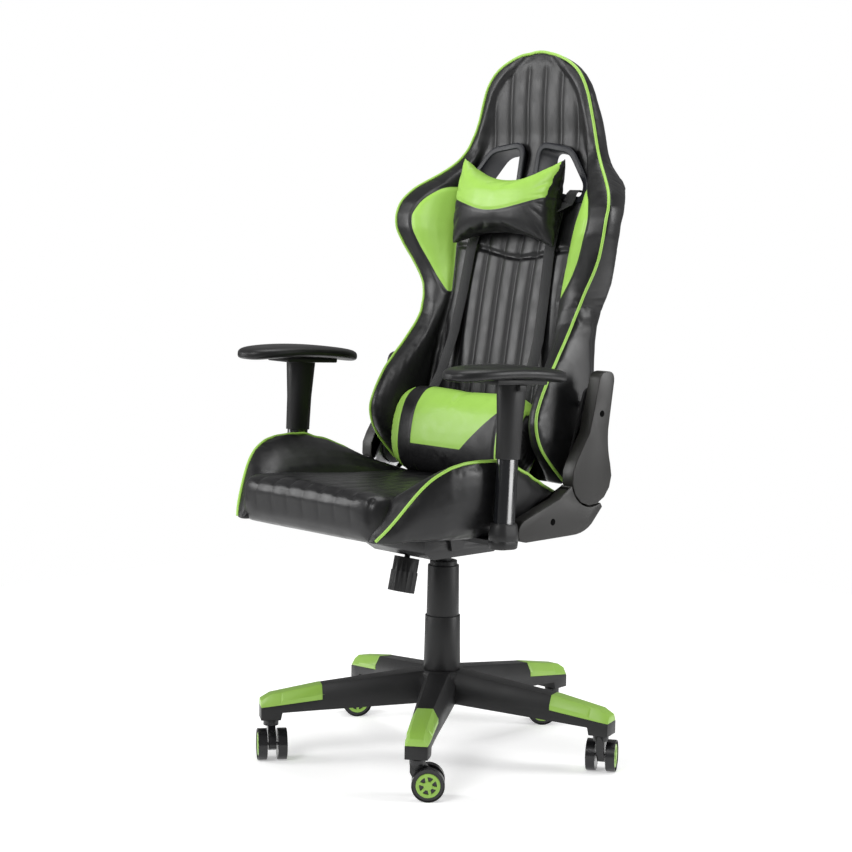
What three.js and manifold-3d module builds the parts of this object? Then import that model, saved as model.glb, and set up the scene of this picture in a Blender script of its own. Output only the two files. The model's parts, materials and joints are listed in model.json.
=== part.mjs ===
// Gaming chair: five-star base on twin-wheel casters, gas lift, rocking mechanism,
// bucket seat, reclining winged backrest, height-adjustable armrests and two pillows.
// Millimetres, +Z up. The origin is on the floor in the middle of the chair; it faces -Y
// and +X is the sitter's left.
import * as THREE from 'three';
import { mergeVertices } from 'three/addons/utils/BufferGeometryUtils.js';
import Module from 'manifold-3d';

const wasm = await Module();
wasm.setup();

// ---------------------------------------------------------------- driving dimensions
const gap = 0.3;                  // between pieces that rest on or fit into each other
const overcut = 2;                // how far a cutting tool runs past a face

// casters
const wheelRadius = 27.5;
const wheelWidth = 16;
const wheelSegments = 16;
const hubRecess = 2;              // outer face of a wheel, set back inside the tyre
const hubRecessRadius = 20.5;
const forkWidth = 13;             // yoke between the two wheels
const forkSideGap = 2.8;          // yoke to wheel
const casterTrail = 18;           // swivel axis to axle
const axleRadius = 3;
const stemRadius = 5.5;
const stemLength = 34;
const collarRadius = 13.5;
const collarHeight = 9;
const collarGap = 2.5;            // wheel to collar, and collar to base
const casterTurns = [124, 226, 241, 326, 46];   // way each caster trails, degrees from +X

// five-star base
const armCount = 5;
const firstArmTurn = 20.9;        // degrees from +X
const stemCircle = 303;           // column axis to each caster stem
const armEnd = 19;                // stem to the end of the arm
const armRootWidth = 58;
const armTipWidth = 41;
const socketDepth = 34;           // height of the arm's end over its underside
const socketDrop = 13;            // how far the socket block hangs below the arm
const hubRise = 81;               // hub top over the socket's underside
const armRootDepth = 55;
const hubRadius = 43;
const capLength = 107;
const capThickness = 2.6;
const capSkirt = 25;              // depth of the cap's sides

// gas lift and its covers
const tubeRadius = 25;
const tubeTipRadius = 23;
const tubeTop = 112;              // over the hub
const nubLength = 12;
const pistonRadius = 14;
const pistonEngaged = 30;         // piston inside the mechanism
const coverLowerLength = 96;
const coverLowerRadius = 32.5;
const coverLowerTopRadius = 31;
const coverUpperLength = 118;
const coverUpperRadius = 29;
const coverUpperTopRadius = 27.6;
const coverWall = 1.8;
const neckLength = 20;            // bare piston under the mechanism
const liftTravel = 80;
const columnOffset = 12.5;        // column from the middle of the whole chair's footprint

// rocking mechanism
const columnRise = 214;           // hub top to the underside of the housing, lift raised
const housingWidth = 150;
const housingFront = -118;
const housingRear = 62;
const housingHeight = 36;
const housingWall = 4;
const rockPivotY = -45;
const rockPivotHeight = 24;       // over the housing's underside
const rockPinRadius = 6;
const earThickness = 5;
const plateThickness = 5;
const plateLength = 230;
const knobY = -88;
const knobTilt = 13;              // degrees, lower end forward
const knobRadius = 23.5;
const knobLength = 36;
const knobCollarLength = 24;
const knobRibs = 14;
const leverReach = 225;
const leverY = 8;
const leverRodRadius = 4;
const leverHeight = 20;           // over the housing's underside
const leverSlotRise = 3;          // room above the lever in the housing's wall

// seat; its own frame leans back about the point under the cushion on the column axis
const seatRise = 54;              // seat's underside over the housing's
const seatTilt = 3;               // degrees
const seatFront = -322;
const seatRear = 100;
const seatCentreHeight = 66;      // top of the middle cushion over the seat's underside
const bolsterRise = 76;           // bolster over the middle cushion
const noseDrop = 8;               // front edge of the middle cushion
const tailDrop = 22;              // rear edge of the middle cushion
const panThickness = 16;
const crossBarY = 28;
const crossBarSize = 20;

// recliner and hinge covers
const hingeHalf = 226.5;          // middle to the inner face of the back's side plates
const reclinerY = 90;             // pivot, behind the column
const reclinerRise = 95;          // pivot over the seat's underside
const backLean = 10;              // degrees
const reclinerPinRadius = 8;
const sidePlateThickness = 5;
const sidePlateGap = 2;           // between the back's and the seat's side plates
const coverDepth = 25;
const coverShell = 3;
const coverRound = 49;            // round end of the upper cover
const coverPivotGap = 2;          // between the upper and lower covers
const coverRise = 181;            // top of the upper cover over the pivot

// backrest, in a frame that leans back at the recliner
const backHeight = 739;           // pivot to the top of the head
const shoulderHalf = 262;
const backRearPlane = 60;
const skinDepth = 14;             // rear cover
const frameTubeRadius = 9;
const frameInset = 38;            // hoop's centre line, in from the wing's edge
const hoopHalf = 154;             // widest half width of the hoop
const frameTopInset = 87;         // hoop's crown, below the top of the head
const frameLowDepth = 8;          // hoop's lower legs, behind the pivot plane
const plateRise = 135;            // side plates over the pivot
const studPlaces = [60, 120];     // ties from a side plate to the hoop, over the pivot
const studRadius = 6;

// head openings and their bezels
const openingInner = 26;
const openingTopOuter = 92;
const openingBottomOuter = 138;
const waist = 146;                // height over the pivot that the back keeps at any size
const openingShare = 0.7083;      // head openings' top edge, share of the way up from the waist
const openingFoot = 0.5599;       // their bottom edge, the same way
const openingSlant = 14;
const bezelWall = 4;
const bezelLip = 9;

// armrests, in the seat's frame
const armOffset = 38.5;           // post's centre, out from the side plates
const postY = -122;
const postLong = 40;
const postWide = 26;
const postWall = 2.5;
const postHeight = 182;
const bootHeight = 42;
const bootDrop = 12;              // foot of the post, below the seat's underside
const bracketThickness = 8;
const bracketWidth = 30;
const bracketReach = 60;          // how far a bracket runs in under the pan
const sleeveBottom = 135;
const sleeveLength = 131;
const sleeveLongTop = 58;
const sleeveWideTop = 40;
const sleeveLong = 46;
const sleeveWide = 31;
const sleeveRoof = 24;            // solid top of the sleeve
const padLength = 280;
const padWidth = 98;
const padThickness = 22;
const padDroop = 13;
const padFootDrop = 7;            // mounting plate under the pad
const padFootLength = 160;
const padFootWidth = 60;
const padShift = -10;             // pad centre from the post, forward
const padInset = 4;               // pad centre from the post, towards the sitter
const buttonTravel = 4;

// pillows, in the back's frame
const pillowClearance = 1.5;
const headPillow = { width: 258, height: 156, thickness: 74, centre: 462 };   // centre over the pivot
const lumbarPillow = { width: 336, height: 160, thickness: 84, centre: 54 };

// ---------------------------------------------------------------- derived places
const axleHeight = wheelRadius;
const collarBottom = 2 * wheelRadius + collarGap;
const socketBottom = collarBottom + collarHeight + collarGap;
const hubTop = socketBottom + hubRise;
const coverLowerTop = hubTop + gap + coverLowerLength;
const mechanismBottom = hubTop + columnRise;
const coverUpperTop = mechanismBottom - neckLength;
const rockPivotZ = mechanismBottom + rockPivotHeight;
const leverZ = mechanismBottom + leverHeight;
const seatBottom = mechanismBottom + seatRise;
const reclinerZ = seatBottom + reclinerRise;
const backPlateInner = hingeHalf;
const seatPlateInner = backPlateInner + sidePlateThickness + sidePlateGap;
const coverInner = seatPlateInner + sidePlateThickness + 2.5;
const seatHalfEnd = hingeHalf - 7.5;        // between the recliner plates
const seatHalfRear = hingeHalf - 0.5;
const seatHalfWing = hingeHalf + 15.5;
const seatHalfFront = hingeHalf - 54.5;
const seatCentreHalf = hingeHalf - 60.5;    // middle cushion at the front
const panHalf = hingeHalf - 36.5;
const panFront = seatFront + 52;
const panRear = seatRear - 30;
const armX = hingeHalf + armOffset;
const frameTop = backHeight - frameTopInset;
const openingTop = waist + openingShare * (backHeight - waist);
const openingBottom = waist + openingFoot * (backHeight - waist);
const radians = THREE.MathUtils.degToRad;

// ---------------------------------------------------------------- materials
function finish(color, roughness, metalness = 0) {
  return new THREE.MeshStandardMaterial({ color, roughness, metalness });
}
const finishes = {
  tyre: finish(0x141414, 0.6),
  darkPlastic: finish(0x1c1c1e, 0.55),
  greenPlastic: finish(0x74c020, 0.45),
  coverPlastic: finish(0x2b2826, 0.5),
  glossPlastic: finish(0x101113, 0.2),
  steel: finish(0x8d8f93, 0.35, 1),
  blackSteel: finish(0x151517, 0.4, 0.6),
  blackLeather: finish(0x121213, 0.42),
  greenLeather: finish(0x78c422, 0.45),
};

// ---------------------------------------------------------------- solids
// A closed geometry becomes a solid whose faces point outwards.
function solidOf(geometry) {
  const bare = geometry.clone();
  bare.deleteAttribute('normal');
  bare.deleteAttribute('uv');
  const merged = mergeVertices(bare, 1e-4);
  const corners = merged.index.array;
  const kept = [];
  for (let i = 0; i < corners.length; i += 3) {
    const [a, b, c] = [corners[i], corners[i + 1], corners[i + 2]];
    if (a !== b && b !== c && c !== a) kept.push(a, b, c);
  }
  const positions = new Float32Array(merged.attributes.position.array);
  if (signedVolume(positions, kept) < 0) {
    for (let i = 0; i < kept.length; i += 3) [kept[i], kept[i + 1]] = [kept[i + 1], kept[i]];
  }
  const mesh = new wasm.Mesh({
    numProp: 3, vertProperties: positions, triVerts: new Uint32Array(kept),
  });
  return new wasm.Manifold(mesh);
}

function signedVolume(positions, corners) {
  let sum = 0;
  const [a, b, c] = [new THREE.Vector3(), new THREE.Vector3(), new THREE.Vector3()];
  for (let i = 0; i < corners.length; i += 3) {
    a.fromArray(positions, 3 * corners[i]);
    b.fromArray(positions, 3 * corners[i + 1]);
    c.fromArray(positions, 3 * corners[i + 2]);
    sum += a.dot(b.cross(c));
  }
  return sum;
}

function geometryOf(solid) {
  const { vertProperties, triVerts, numProp } = solid.getMesh();
  const geometry = new THREE.BufferGeometry();
  const positions = new Float32Array((vertProperties.length / numProp) * 3);
  for (let i = 0; i < positions.length / 3; i += 1) {
    for (let k = 0; k < 3; k += 1) positions[3 * i + k] = vertProperties[numProp * i + k];
  }
  geometry.setAttribute('position', new THREE.BufferAttribute(positions, 3));
  geometry.setIndex(new THREE.BufferAttribute(new Uint32Array(triVerts), 1));
  geometry.computeVertexNormals();
  return geometry;
}

// Moves every corner of a geometry through place(x, y, z) -> [x, y, z].
function reshape(geometry, place) {
  const spots = geometry.attributes.position;
  for (let i = 0; i < spots.count; i += 1) {
    const [x, y, z] = place(spots.getX(i), spots.getY(i), spots.getZ(i));
    spots.setXYZ(i, x, y, z);
  }
  return geometry;
}

function block(x0, x1, y0, y1, z0, z1) {
  const geometry = new THREE.BoxGeometry(x1 - x0, y1 - y0, z1 - z0);
  geometry.translate((x0 + x1) / 2, (y0 + y1) / 2, (z0 + z1) / 2);
  return solidOf(geometry);
}

// Turned about Z from a list of [radius, height].
function turned(profile, segments = 24, phase = 0) {
  const points = profile.map(([r, h]) => new THREE.Vector2(r, h));
  const geometry = new THREE.LatheGeometry(points, segments, phase);
  geometry.rotateX(Math.PI / 2);
  return geometry;
}

function rod(radius, length, segments = 16) {
  return turned([[0, 0], [radius, 0], [radius, length], [0, length]], segments);
}

function outline(points) {
  return new THREE.Shape(points.map(([x, y]) => new THREE.Vector2(x, y)));
}

// A round-ended slot, long along Y.
function stadium(wide, long, arcSteps = 6) {
  const radius = Math.min(wide, long) / 2;
  const half = long / 2 - radius;
  const points = [];
  for (let i = 0; i <= arcSteps; i += 1) {
    const turn = (Math.PI * i) / arcSteps;
    points.push([radius * Math.cos(turn), half + radius * Math.sin(turn)]);
  }
  for (let i = 0; i <= arcSteps; i += 1) {
    const turn = Math.PI + (Math.PI * i) / arcSteps;
    points.push([radius * Math.cos(turn), -half + radius * Math.sin(turn)]);
  }
  return outline(points);
}

function prism(shape, depth, steps = 1, curveSegments = 8) {
  return new THREE.ExtrudeGeometry(shape, { depth, steps, curveSegments, bevelEnabled: false });
}

// An outline drawn in (y, z), given its thickness along X from x0 to x1.
function sidePrism(shape, x0, x1, curveSegments = 8) {
  return reshape(prism(shape, 1, 1, curveSegments), (y, z, t) => [x0 + t * (x1 - x0), y, z]);
}

// Straight-line value between the stations of a [place, value] list.
function between(stations, at) {
  if (at <= stations[0][0]) return stations[0][1];
  for (let i = 1; i < stations.length; i += 1) {
    const [p0, v0] = stations[i - 1];
    const [p1, v1] = stations[i];
    if (at <= p1) return v0 + ((v1 - v0) * (at - p0)) / (p1 - p0);
  }
  return stations[stations.length - 1][1];
}

// ---------------------------------------------------------------- scene graph
const chair = new THREE.Group();
chair.position.x = columnOffset;

function addPiece(parent, name, shape, material) {
  const geometry = shape.isBufferGeometry ? geometryOf(solidOf(shape)) : geometryOf(shape);
  const mesh = new THREE.Mesh(geometry, material);
  mesh.name = name;
  parent.add(mesh);
  return mesh;
}

// ---------------------------------------------------------------- casters
function casterWheel() {
  const radius = wheelRadius / Math.cos(Math.PI / wheelSegments);
  const bore = axleRadius + gap;
  const web = wheelWidth - hubRecess;
  const profile = [
    [0, web - 3], [bore, web - 3], [bore, 0], [radius - 3.5, 0], [radius, 3],
    [radius, wheelWidth - 4], [radius - 3, wheelWidth], [hubRecessRadius, wheelWidth],
    [hubRecessRadius, web], [0, web],
  ];
  return turned(profile, wheelSegments, Math.PI / wheelSegments);
}

function forkOutline() {
  const low = axleHeight - 10;
  const reach = wheelRadius - 5;
  const shape = new THREE.Shape();
  shape.moveTo(-collarRadius + 1, collarBottom + 1);
  shape.lineTo(-collarRadius + 1, axleHeight + 17);
  shape.lineTo(casterTrail - reach, axleHeight + 2);
  shape.lineTo(casterTrail - 9, low);
  shape.lineTo(casterTrail + 6, low);
  shape.absarc(casterTrail, axleHeight, reach, radians(-8), radians(66), false);
  shape.lineTo(collarRadius - 1, collarBottom + 1);
  return shape;
}

function casterYoke() {
  const fork = reshape(prism(forkOutline(), 1, 1, 5), (x, z, t) => [x, (t - 0.5) * forkWidth, z]);
  const collar = rod(collarRadius, collarHeight, 16).translate(0, 0, collarBottom);
  const stem = rod(stemRadius, stemLength + 1, 12);
  stem.translate(0, 0, collarBottom + collarHeight - 1);
  const bore = rod(axleRadius + gap, forkWidth + 2 * overcut, 12);
  bore.rotateX(Math.PI / 2).translate(casterTrail, forkWidth / 2 + overcut, axleHeight);
  return solidOf(fork).add(solidOf(collar)).add(solidOf(stem)).subtract(solidOf(bore));
}

function addCaster(index) {
  const turn = radians(firstArmTurn + (360 / armCount) * index);
  const caster = new THREE.Group();
  caster.position.set(stemCircle * Math.cos(turn), stemCircle * Math.sin(turn), 0);
  caster.rotation.z = radians(casterTurns[index]);
  chair.add(caster);
  const name = `caster_${index + 1}`;
  addPiece(caster, `${name}_yoke`, casterYoke(), finishes.darkPlastic);
  const inner = forkWidth / 2 + forkSideGap;
  const axleHalf = inner + wheelWidth - hubRecess - 3 - gap;
  const axle = rod(axleRadius, 2 * axleHalf, 12);
  axle.rotateX(-Math.PI / 2).translate(0, -axleHalf, 0);
  addPiece(caster, `${name}_axle`, axle, finishes.steel).position.set(casterTrail, 0, axleHeight);
  for (const [side, way] of [['left', 1], ['right', -1]]) {
    const wheel = casterWheel().rotateX((-way * Math.PI) / 2);
    const mesh = addPiece(caster, `${name}_wheel_${side}`, wheel, finishes.tyre);
    mesh.position.set(casterTrail, way * inner, axleHeight);
  }
}

// ---------------------------------------------------------------- five-star base
const armTip = stemCircle + armEnd;
const armTopLine = [
  [0, hubTop], [hubRadius + 4, hubTop - 1], [armTip - capLength + 8, hubTop - 22],
  [armTip - 17, hubTop - 37], [armTip, socketBottom + socketDepth],
];
const armLowLine = [
  [0, hubTop - armRootDepth], [hubRadius, hubTop - armRootDepth],
  [armTip - 37, socketBottom + socketDrop], [armTip - 34, socketBottom], [armTip, socketBottom],
];
const armWidthLine = [
  [0, armRootWidth], [hubRadius, armRootWidth], [armTip - capLength, armTipWidth + 3],
  [armTip - 20, armTipWidth], [armTip, armTipWidth - 3],
];
const armStations = [
  0, hubRadius + 4, armTip - capLength + 8, armTip - 37, armTip - 34, armTip - 17, armTip,
];

// One arm along +X with chamfered top edges, drawn in by inset all round.
function armSolid(inset, from = 0) {
  const section = outline([
    [-0.5, 0], [0.5, 0], [0.5, 0.62], [0.3, 1], [-0.3, 1], [-0.5, 0.62],
  ]);
  const stations = armStations.map((r) => Math.max(r, from));
  const steps = stations.length - 1;
  const geometry = reshape(prism(section, steps, steps), (across, up, step) => {
    const spot = stations[Math.round(step)];
    const r = Math.round(step) === steps ? spot - inset : spot;
    const low = between(armLowLine, spot) + inset;
    const top = between(armTopLine, spot) - inset;
    const width = between(armWidthLine, spot) - 2 * inset;
    return [r, across * width, low + up * (top - low)];
  });
  return solidOf(geometry);
}

// The space that an end cap takes: outside the inset arm and over the skirt line.
function capZone(shrink) {
  const start = armTip - capLength + shrink;
  const skirtInner = between(armTopLine, start) - capSkirt + shrink;
  const skirtOuter = socketBottom + 21 + shrink;
  const side = outline([
    [start, skirtInner], [armTip + 10, skirtOuter], [armTip + 10, hubTop], [start, hubTop],
  ]);
  const half = armRootWidth;
  const zone = reshape(prism(side, 1), (x, z, t) => [x, (t - 0.5) * 2 * half, z]);
  return solidOf(zone).subtract(armSolid(capThickness, hubRadius));
}

function baseArm() {
  return armSolid(0).subtract(capZone(0));
}

function armCap() {
  const inner = armSolid(capThickness - gap, hubRadius);
  return armSolid(-0.4, hubRadius).intersect(capZone(gap)).subtract(inner);
}

function tubeProfile(grow) {
  const low = hubTop - armRootDepth - nubLength;
  return [
    [0, low], [tubeTipRadius - 7 + grow, low], [tubeTipRadius - 7 + grow, low + nubLength],
    [tubeTipRadius + grow, low + nubLength], [tubeRadius + grow, hubTop - 4],
    [tubeRadius + grow, hubTop + tubeTop],
  ];
}

function addBase() {
  const low = hubTop - armRootDepth;
  let star = solidOf(turned([[0, low], [hubRadius - 5, low], [hubRadius, low + 16],
    [hubRadius, hubTop - 5], [hubRadius - 4, hubTop], [0, hubTop]], 30));
  const arm = baseArm();
  const socket = solidOf(rod(stemRadius + gap, stemLength - collarGap + gap + overcut, 12)
    .translate(stemCircle, 0, socketBottom - overcut));
  const cap = geometryOf(armCap());
  for (let i = 0; i < armCount; i += 1) {
    const turn = firstArmTurn + (360 / armCount) * i;
    star = star.add(arm.subtract(socket).rotate([0, 0, turn]));
  }
  const bore = tubeProfile(gap);
  bore.push([0, hubTop + tubeTop]);
  star = star.subtract(solidOf(turned(bore)));
  addPiece(chair, 'base_star', star, finishes.darkPlastic);
  for (let i = 0; i < armCount; i += 1) {
    const mesh = addPiece(chair, `base_cap_${i + 1}`, cap, finishes.greenPlastic);
    mesh.rotation.z = radians(firstArmTurn + (360 / armCount) * i);
  }
}

// ---------------------------------------------------------------- gas lift
const pistonBottom = mechanismBottom + pistonEngaged - 215;

function addLift() {
  const floorOfBore = pistonBottom - liftTravel - 6;
  const bore = pistonRadius + gap;
  const tube = tubeProfile(0);
  tube.push([bore, hubTop + tubeTop], [bore, floorOfBore], [0, floorOfBore]);
  addPiece(chair, 'cylinder_tube', turned(tube), finishes.blackSteel);
  const foot = hubTop + gap;
  addPiece(chair, 'cover_lower', turned([
    [coverLowerRadius, foot], [coverLowerTopRadius, coverLowerTop],
    [coverLowerTopRadius - coverWall + 0.4, coverLowerTop],
    [coverLowerTopRadius - coverWall + 0.4, foot], [coverLowerRadius, foot],
  ], 28), finishes.darkPlastic);
  const skirt = coverUpperTop - coverUpperLength;
  const shoulder = coverUpperTop - 8;
  const lip = pistonRadius + 1.5;
  addPiece(chair, 'cover_upper', turned([
    [coverUpperRadius, skirt], [coverUpperTopRadius, shoulder], [coverUpperTopRadius - 3.5, shoulder],
    [coverUpperTopRadius - 3.5, coverUpperTop], [lip, coverUpperTop], [lip, shoulder - coverWall],
    [coverUpperTopRadius - coverWall, shoulder - coverWall], [coverUpperRadius - coverWall, skirt],
    [coverUpperRadius, skirt],
  ], 28), finishes.darkPlastic);
  const piston = rod(pistonRadius, mechanismBottom + pistonEngaged - pistonBottom, 20);
  addPiece(chair, 'lift_piston', piston.translate(0, 0, pistonBottom), finishes.blackSteel);
}

// ---------------------------------------------------------------- rocking mechanism
function housingSolid() {
  const top = mechanismBottom + housingHeight;
  const side = outline([
    [housingFront, mechanismBottom + 14], [housingFront + 22, mechanismBottom],
    [housingRear - 12, mechanismBottom], [housingRear, mechanismBottom + 8],
    [housingRear, top - 20], [rockPivotY + 12, top], [housingFront, top],
  ]);
  let housing = solidOf(sidePrism(side, -housingWidth / 2, housingWidth / 2));
  const inner = housingWidth / 2 - housingWall;
  const tray = block(-inner, inner, housingFront + housingWall, rockPivotY - 14,
    mechanismBottom + 18, top + overcut);
  const rearTray = block(-inner, inner, rockPivotY + 14, housingRear - housingWall,
    mechanismBottom + 10, top + overcut);
  const boss = solidOf(rod(pistonRadius + 9, pistonEngaged + 3, 24)
    .translate(0, 0, mechanismBottom));
  housing = housing.subtract(tray).subtract(rearTray.subtract(boss)).add(boss);
  const cone = solidOf(turned([[0, -8], [pistonRadius + 1.5, -8], [pistonRadius + 10, 0],
    [pistonRadius + 10, 2], [0, 2]]).translate(0, 0, mechanismBottom));
  const pistonBore = solidOf(rod(pistonRadius + gap, pistonEngaged + gap + 20, 20)
    .translate(0, 0, mechanismBottom - 20));
  const pinBore = solidOf(rod(rockPinRadius + gap, housingWidth + 2 * overcut, 12)
    .rotateY(Math.PI / 2).translate(-housingWidth / 2 - overcut, rockPivotY, rockPivotZ));
  const leverSlot = block(-inner - housingWall - overcut, -inner + overcut,
    leverY - leverRodRadius - gap, leverY + leverRodRadius + gap,
    leverZ - leverRodRadius - gap, leverZ + leverRodRadius + leverSlotRise);
  const knobBore = knobPlaced(solidOf(rod(5 + gap, 40, 12).translate(0, 0, -4)));
  return housing.add(cone).subtract(pistonBore).subtract(pinBore).subtract(leverSlot)
    .subtract(knobBore);
}

// Local Z of the knob points up its shaft; zero is the top of its collar.
const knobTopZ = mechanismBottom - 6;
function knobPlaced(solid) {
  return solid.rotate([-knobTilt, 0, 0]).translate([0, knobY, knobTopZ]);
}

function knobSolid() {
  const low = -knobCollarLength - knobLength;
  const grips = [];
  for (let i = 0; i < 2 * knobRibs; i += 1) {
    const turn = (Math.PI * i) / knobRibs;
    const radius = knobRadius - (i % 2 ? 2.2 : 0);
    grips.push([radius * Math.cos(turn), radius * Math.sin(turn)]);
  }
  const grip = solidOf(prism(outline(grips), knobLength).translate(0, 0, low));
  const collar = solidOf(rod(knobRadius - 1.5, knobCollarLength + 1, 24)
    .translate(0, 0, -knobCollarLength - 1));
  const shaft = solidOf(rod(5, 24, 12).translate(0, 0, -1));
  return grip.add(collar).add(shaft);
}

function plateSolid() {
  const half = housingWidth / 2 + gap + 0.5;
  const top = seatFrameHeight(rockPivotY) - gap;
  const ear = outline([
    [-22, top - rockPivotZ - 2], [-13, -12], [13, -12], [24, top - rockPivotZ - 2],
  ]);
  let plate = block(-half - earThickness, half + earThickness, rockPivotY - 0.4 * plateLength,
    rockPivotY + 0.6 * plateLength, -plateThickness - gap, -gap)
    .rotate([-seatTilt, 0, 0]).translate([0, 0, seatBottom]);
  for (const way of [-1, 1]) {
    const inner = way * half;
    const outer = way * (half + earThickness);
    const piece = sidePrism(ear, Math.min(inner, outer), Math.max(inner, outer));
    plate = plate.add(solidOf(piece.translate(0, rockPivotY, rockPivotZ)));
  }
  const pin = rod(rockPinRadius, 2 * half + 2, 12).rotateY(Math.PI / 2);
  return plate.add(solidOf(pin.translate(-half - 1, rockPivotY, rockPivotZ)));
}

// Height of the seat's underside plane at a place along Y.
function seatFrameHeight(y) {
  return seatBottom - Math.tan(radians(seatTilt)) * y;
}

function leverSolid() {
  const start = -housingWidth / 2 + housingWall + 6;
  const length = leverReach + start;
  const shaft = solidOf(rod(leverRodRadius, length, 10).rotateY(-Math.PI / 2)
    .translate(start, leverY, leverZ));
  const paddle = prism(stadium(26, 74, 5), 7).rotateZ(Math.PI / 2);
  paddle.translate(-leverReach - 22, leverY, leverZ - 3.5);
  return shaft.add(solidOf(paddle));
}

function addMechanism() {
  addPiece(chair, 'mechanism_housing', housingSolid(), finishes.blackSteel);
  addPiece(chair, 'mechanism_plate', plateSolid(), finishes.blackSteel);
  addPiece(chair, 'tension_knob', knobPlaced(knobSolid()), finishes.darkPlastic);
  addPiece(chair, 'lift_lever', leverSolid(), finishes.darkPlastic);
}

// ---------------------------------------------------------------- seat
const seat = new THREE.Group();
seat.position.set(0, 0, seatBottom);
seat.rotation.x = radians(-seatTilt);
chair.add(seat);

// Places along the seat are shares of its depth, from the front edge to the rear one.
const seatAt = (share) => seatFront + share * (seatRear - seatFront);
const seatHalfLine = [
  [0, seatHalfFront], [0.118, (seatHalfFront + 2 * seatHalfWing) / 3 - 1], [0.26, seatHalfWing],
  [0.45, seatHalfWing], [0.64, seatHalfRear], [0.78, seatHalfEnd], [1, seatHalfEnd],
];
const bolsterLine = [
  [0, 0], [0.088, 0.1], [0.159, 0.5], [0.23, 0.8], [0.336, 0.98], [0.455, 0.98], [0.573, 0.86],
  [0.668, 0.66], [0.763, 0.4], [0.872, 0.15], [1, 0],
];
const seatStations = [
  0, 0.043, 0.1, 0.159, 0.23, 0.336, 0.455, 0.573, 0.668, 0.763, 0.872, 0.943, 1,
];

function seatSurface(across, share) {
  const half = between(seatHalfLine, share);
  const centre = seatCentreHalf / seatHalfWing;
  const rise = THREE.MathUtils.smoothstep(across, centre * 0.95, 0.93);
  const edge = THREE.MathUtils.clamp((across - 0.93) / 0.07, 0, 1);
  let top = seatCentreHeight + bolsterRise * between(bolsterLine, share) * (rise - 0.12 * edge);
  if (share === 0) top -= noseDrop;
  if (share === 1) top -= tailDrop;
  return { half, top };
}

function cushionSolid() {
  const marks = [0, 0.35, 0.64, 0.74, 0.84, 0.93, 1];
  const upper = marks.slice(1).reverse().map((m) => [-m, 1]);
  const ring = [...upper, ...marks.map((m) => [m, 1]), [1.02, 0.45], [0.97, 0], [-0.97, 0],
    [-1.02, 0.45]].reverse();
  const steps = seatStations.length - 1;
  const geometry = reshape(prism(outline(ring), steps, steps), (across, up, step) => {
    const share = seatStations[Math.round(step)];
    const { half, top } = seatSurface(Math.min(Math.abs(across), 1), share);
    const front = share === 0 ? (1 - up) * 10 : 0;
    return [across * half, seatAt(share) + front, up * top];
  });
  return solidOf(geometry);
}

function panSolid(grow) {
  const half = panHalf + grow;
  const pan = block(-half, half, panFront - grow, panRear + grow, -overcut * (grow > 0),
    panThickness + grow);
  const reach = seatPlateInner + (grow > 0 ? sidePlateThickness : -gap);
  const halfBar = crossBarSize / 2 + grow;
  const bar = block(-reach, reach, crossBarY - halfBar, crossBarY + halfBar,
    -overcut * (grow > 0), crossBarSize + grow);
  return pan.add(bar);
}

// ---------------------------------------------------------------- recliner
// The pivot in the seat's frame.
const pivot = new THREE.Vector3(0, reclinerY, reclinerZ - seatBottom)
  .applyAxisAngle(new THREE.Vector3(1, 0, 0), radians(seatTilt));

function linkOutline(x0, y0, r0, x1, y1, r1, steps = 8) {
  const way = Math.atan2(y1 - y0, x1 - x0);
  const points = [];
  for (let i = 0; i <= steps; i += 1) {
    const turn = way + Math.PI / 2 + (Math.PI * i) / steps;
    points.push([x0 + r0 * Math.cos(turn), y0 + r0 * Math.sin(turn)]);
  }
  for (let i = 0; i <= steps; i += 1) {
    const turn = way - Math.PI / 2 + (Math.PI * i) / steps;
    points.push([x1 + r1 * Math.cos(turn), y1 + r1 * Math.sin(turn)]);
  }
  return outline(points);
}

function reclinerSolid(way) {
  const x0 = seatPlateInner;
  const x1 = seatPlateInner + sidePlateThickness;
  const plate = linkOutline(crossBarY, crossBarSize / 2, 16, pivot.y, pivot.z, 30);
  const pinLength = x1 - backPlateInner + 1;
  const pin = rod(reclinerPinRadius, pinLength, 16).rotateY(-Math.PI / 2);
  pin.translate(x1, pivot.y, pivot.z);
  const solid = solidOf(sidePrism(plate, x0, x1)).add(solidOf(pin));
  return way > 0 ? solid : solid.mirror([1, 0, 0]);
}

// Lower cover: a boat-shaped shell with a round bite for the upper cover.
function coverLowerOutline(inset) {
  const shape = new THREE.Shape();
  const bite = coverRound + coverPivotGap + inset;
  const from = radians(196);
  const to = radians(299);
  shape.moveTo(pivot.y + bite * Math.cos(from), pivot.z + bite * Math.sin(from));
  shape.lineTo(pivot.y - 79 + inset, pivot.z - 36 - inset);
  shape.lineTo(pivot.y - 160 + inset, pivot.z - 68 - inset);
  shape.quadraticCurveTo(pivot.y - 176 + inset, pivot.z - 78, pivot.y - 172 + inset, pivot.z - 92);
  shape.quadraticCurveTo(pivot.y - 168, pivot.z - 104 + inset, pivot.y - 152, pivot.z - 105 + inset);
  shape.lineTo(pivot.y - 44, pivot.z - 98 + inset);
  shape.quadraticCurveTo(pivot.y - 12, pivot.z - 97 + inset, pivot.y + 6 - inset, pivot.z - 80);
  shape.lineTo(pivot.y + 30 - inset, pivot.z - 52);
  shape.lineTo(pivot.y + bite * Math.cos(to), pivot.z + bite * Math.sin(to));
  shape.absarc(pivot.y, pivot.z, bite, to, from, true);
  return shape;
}

function coverShellSolid(shapeAt, way) {
  const outer = coverInner + coverDepth;
  const body = solidOf(sidePrism(shapeAt(0), coverInner, outer, 5));
  const hollow = solidOf(sidePrism(shapeAt(coverShell), coverInner - overcut, outer - coverShell, 5));
  const shell = body.subtract(hollow);
  return way > 0 ? shell : shell.mirror([1, 0, 0]);
}

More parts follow.
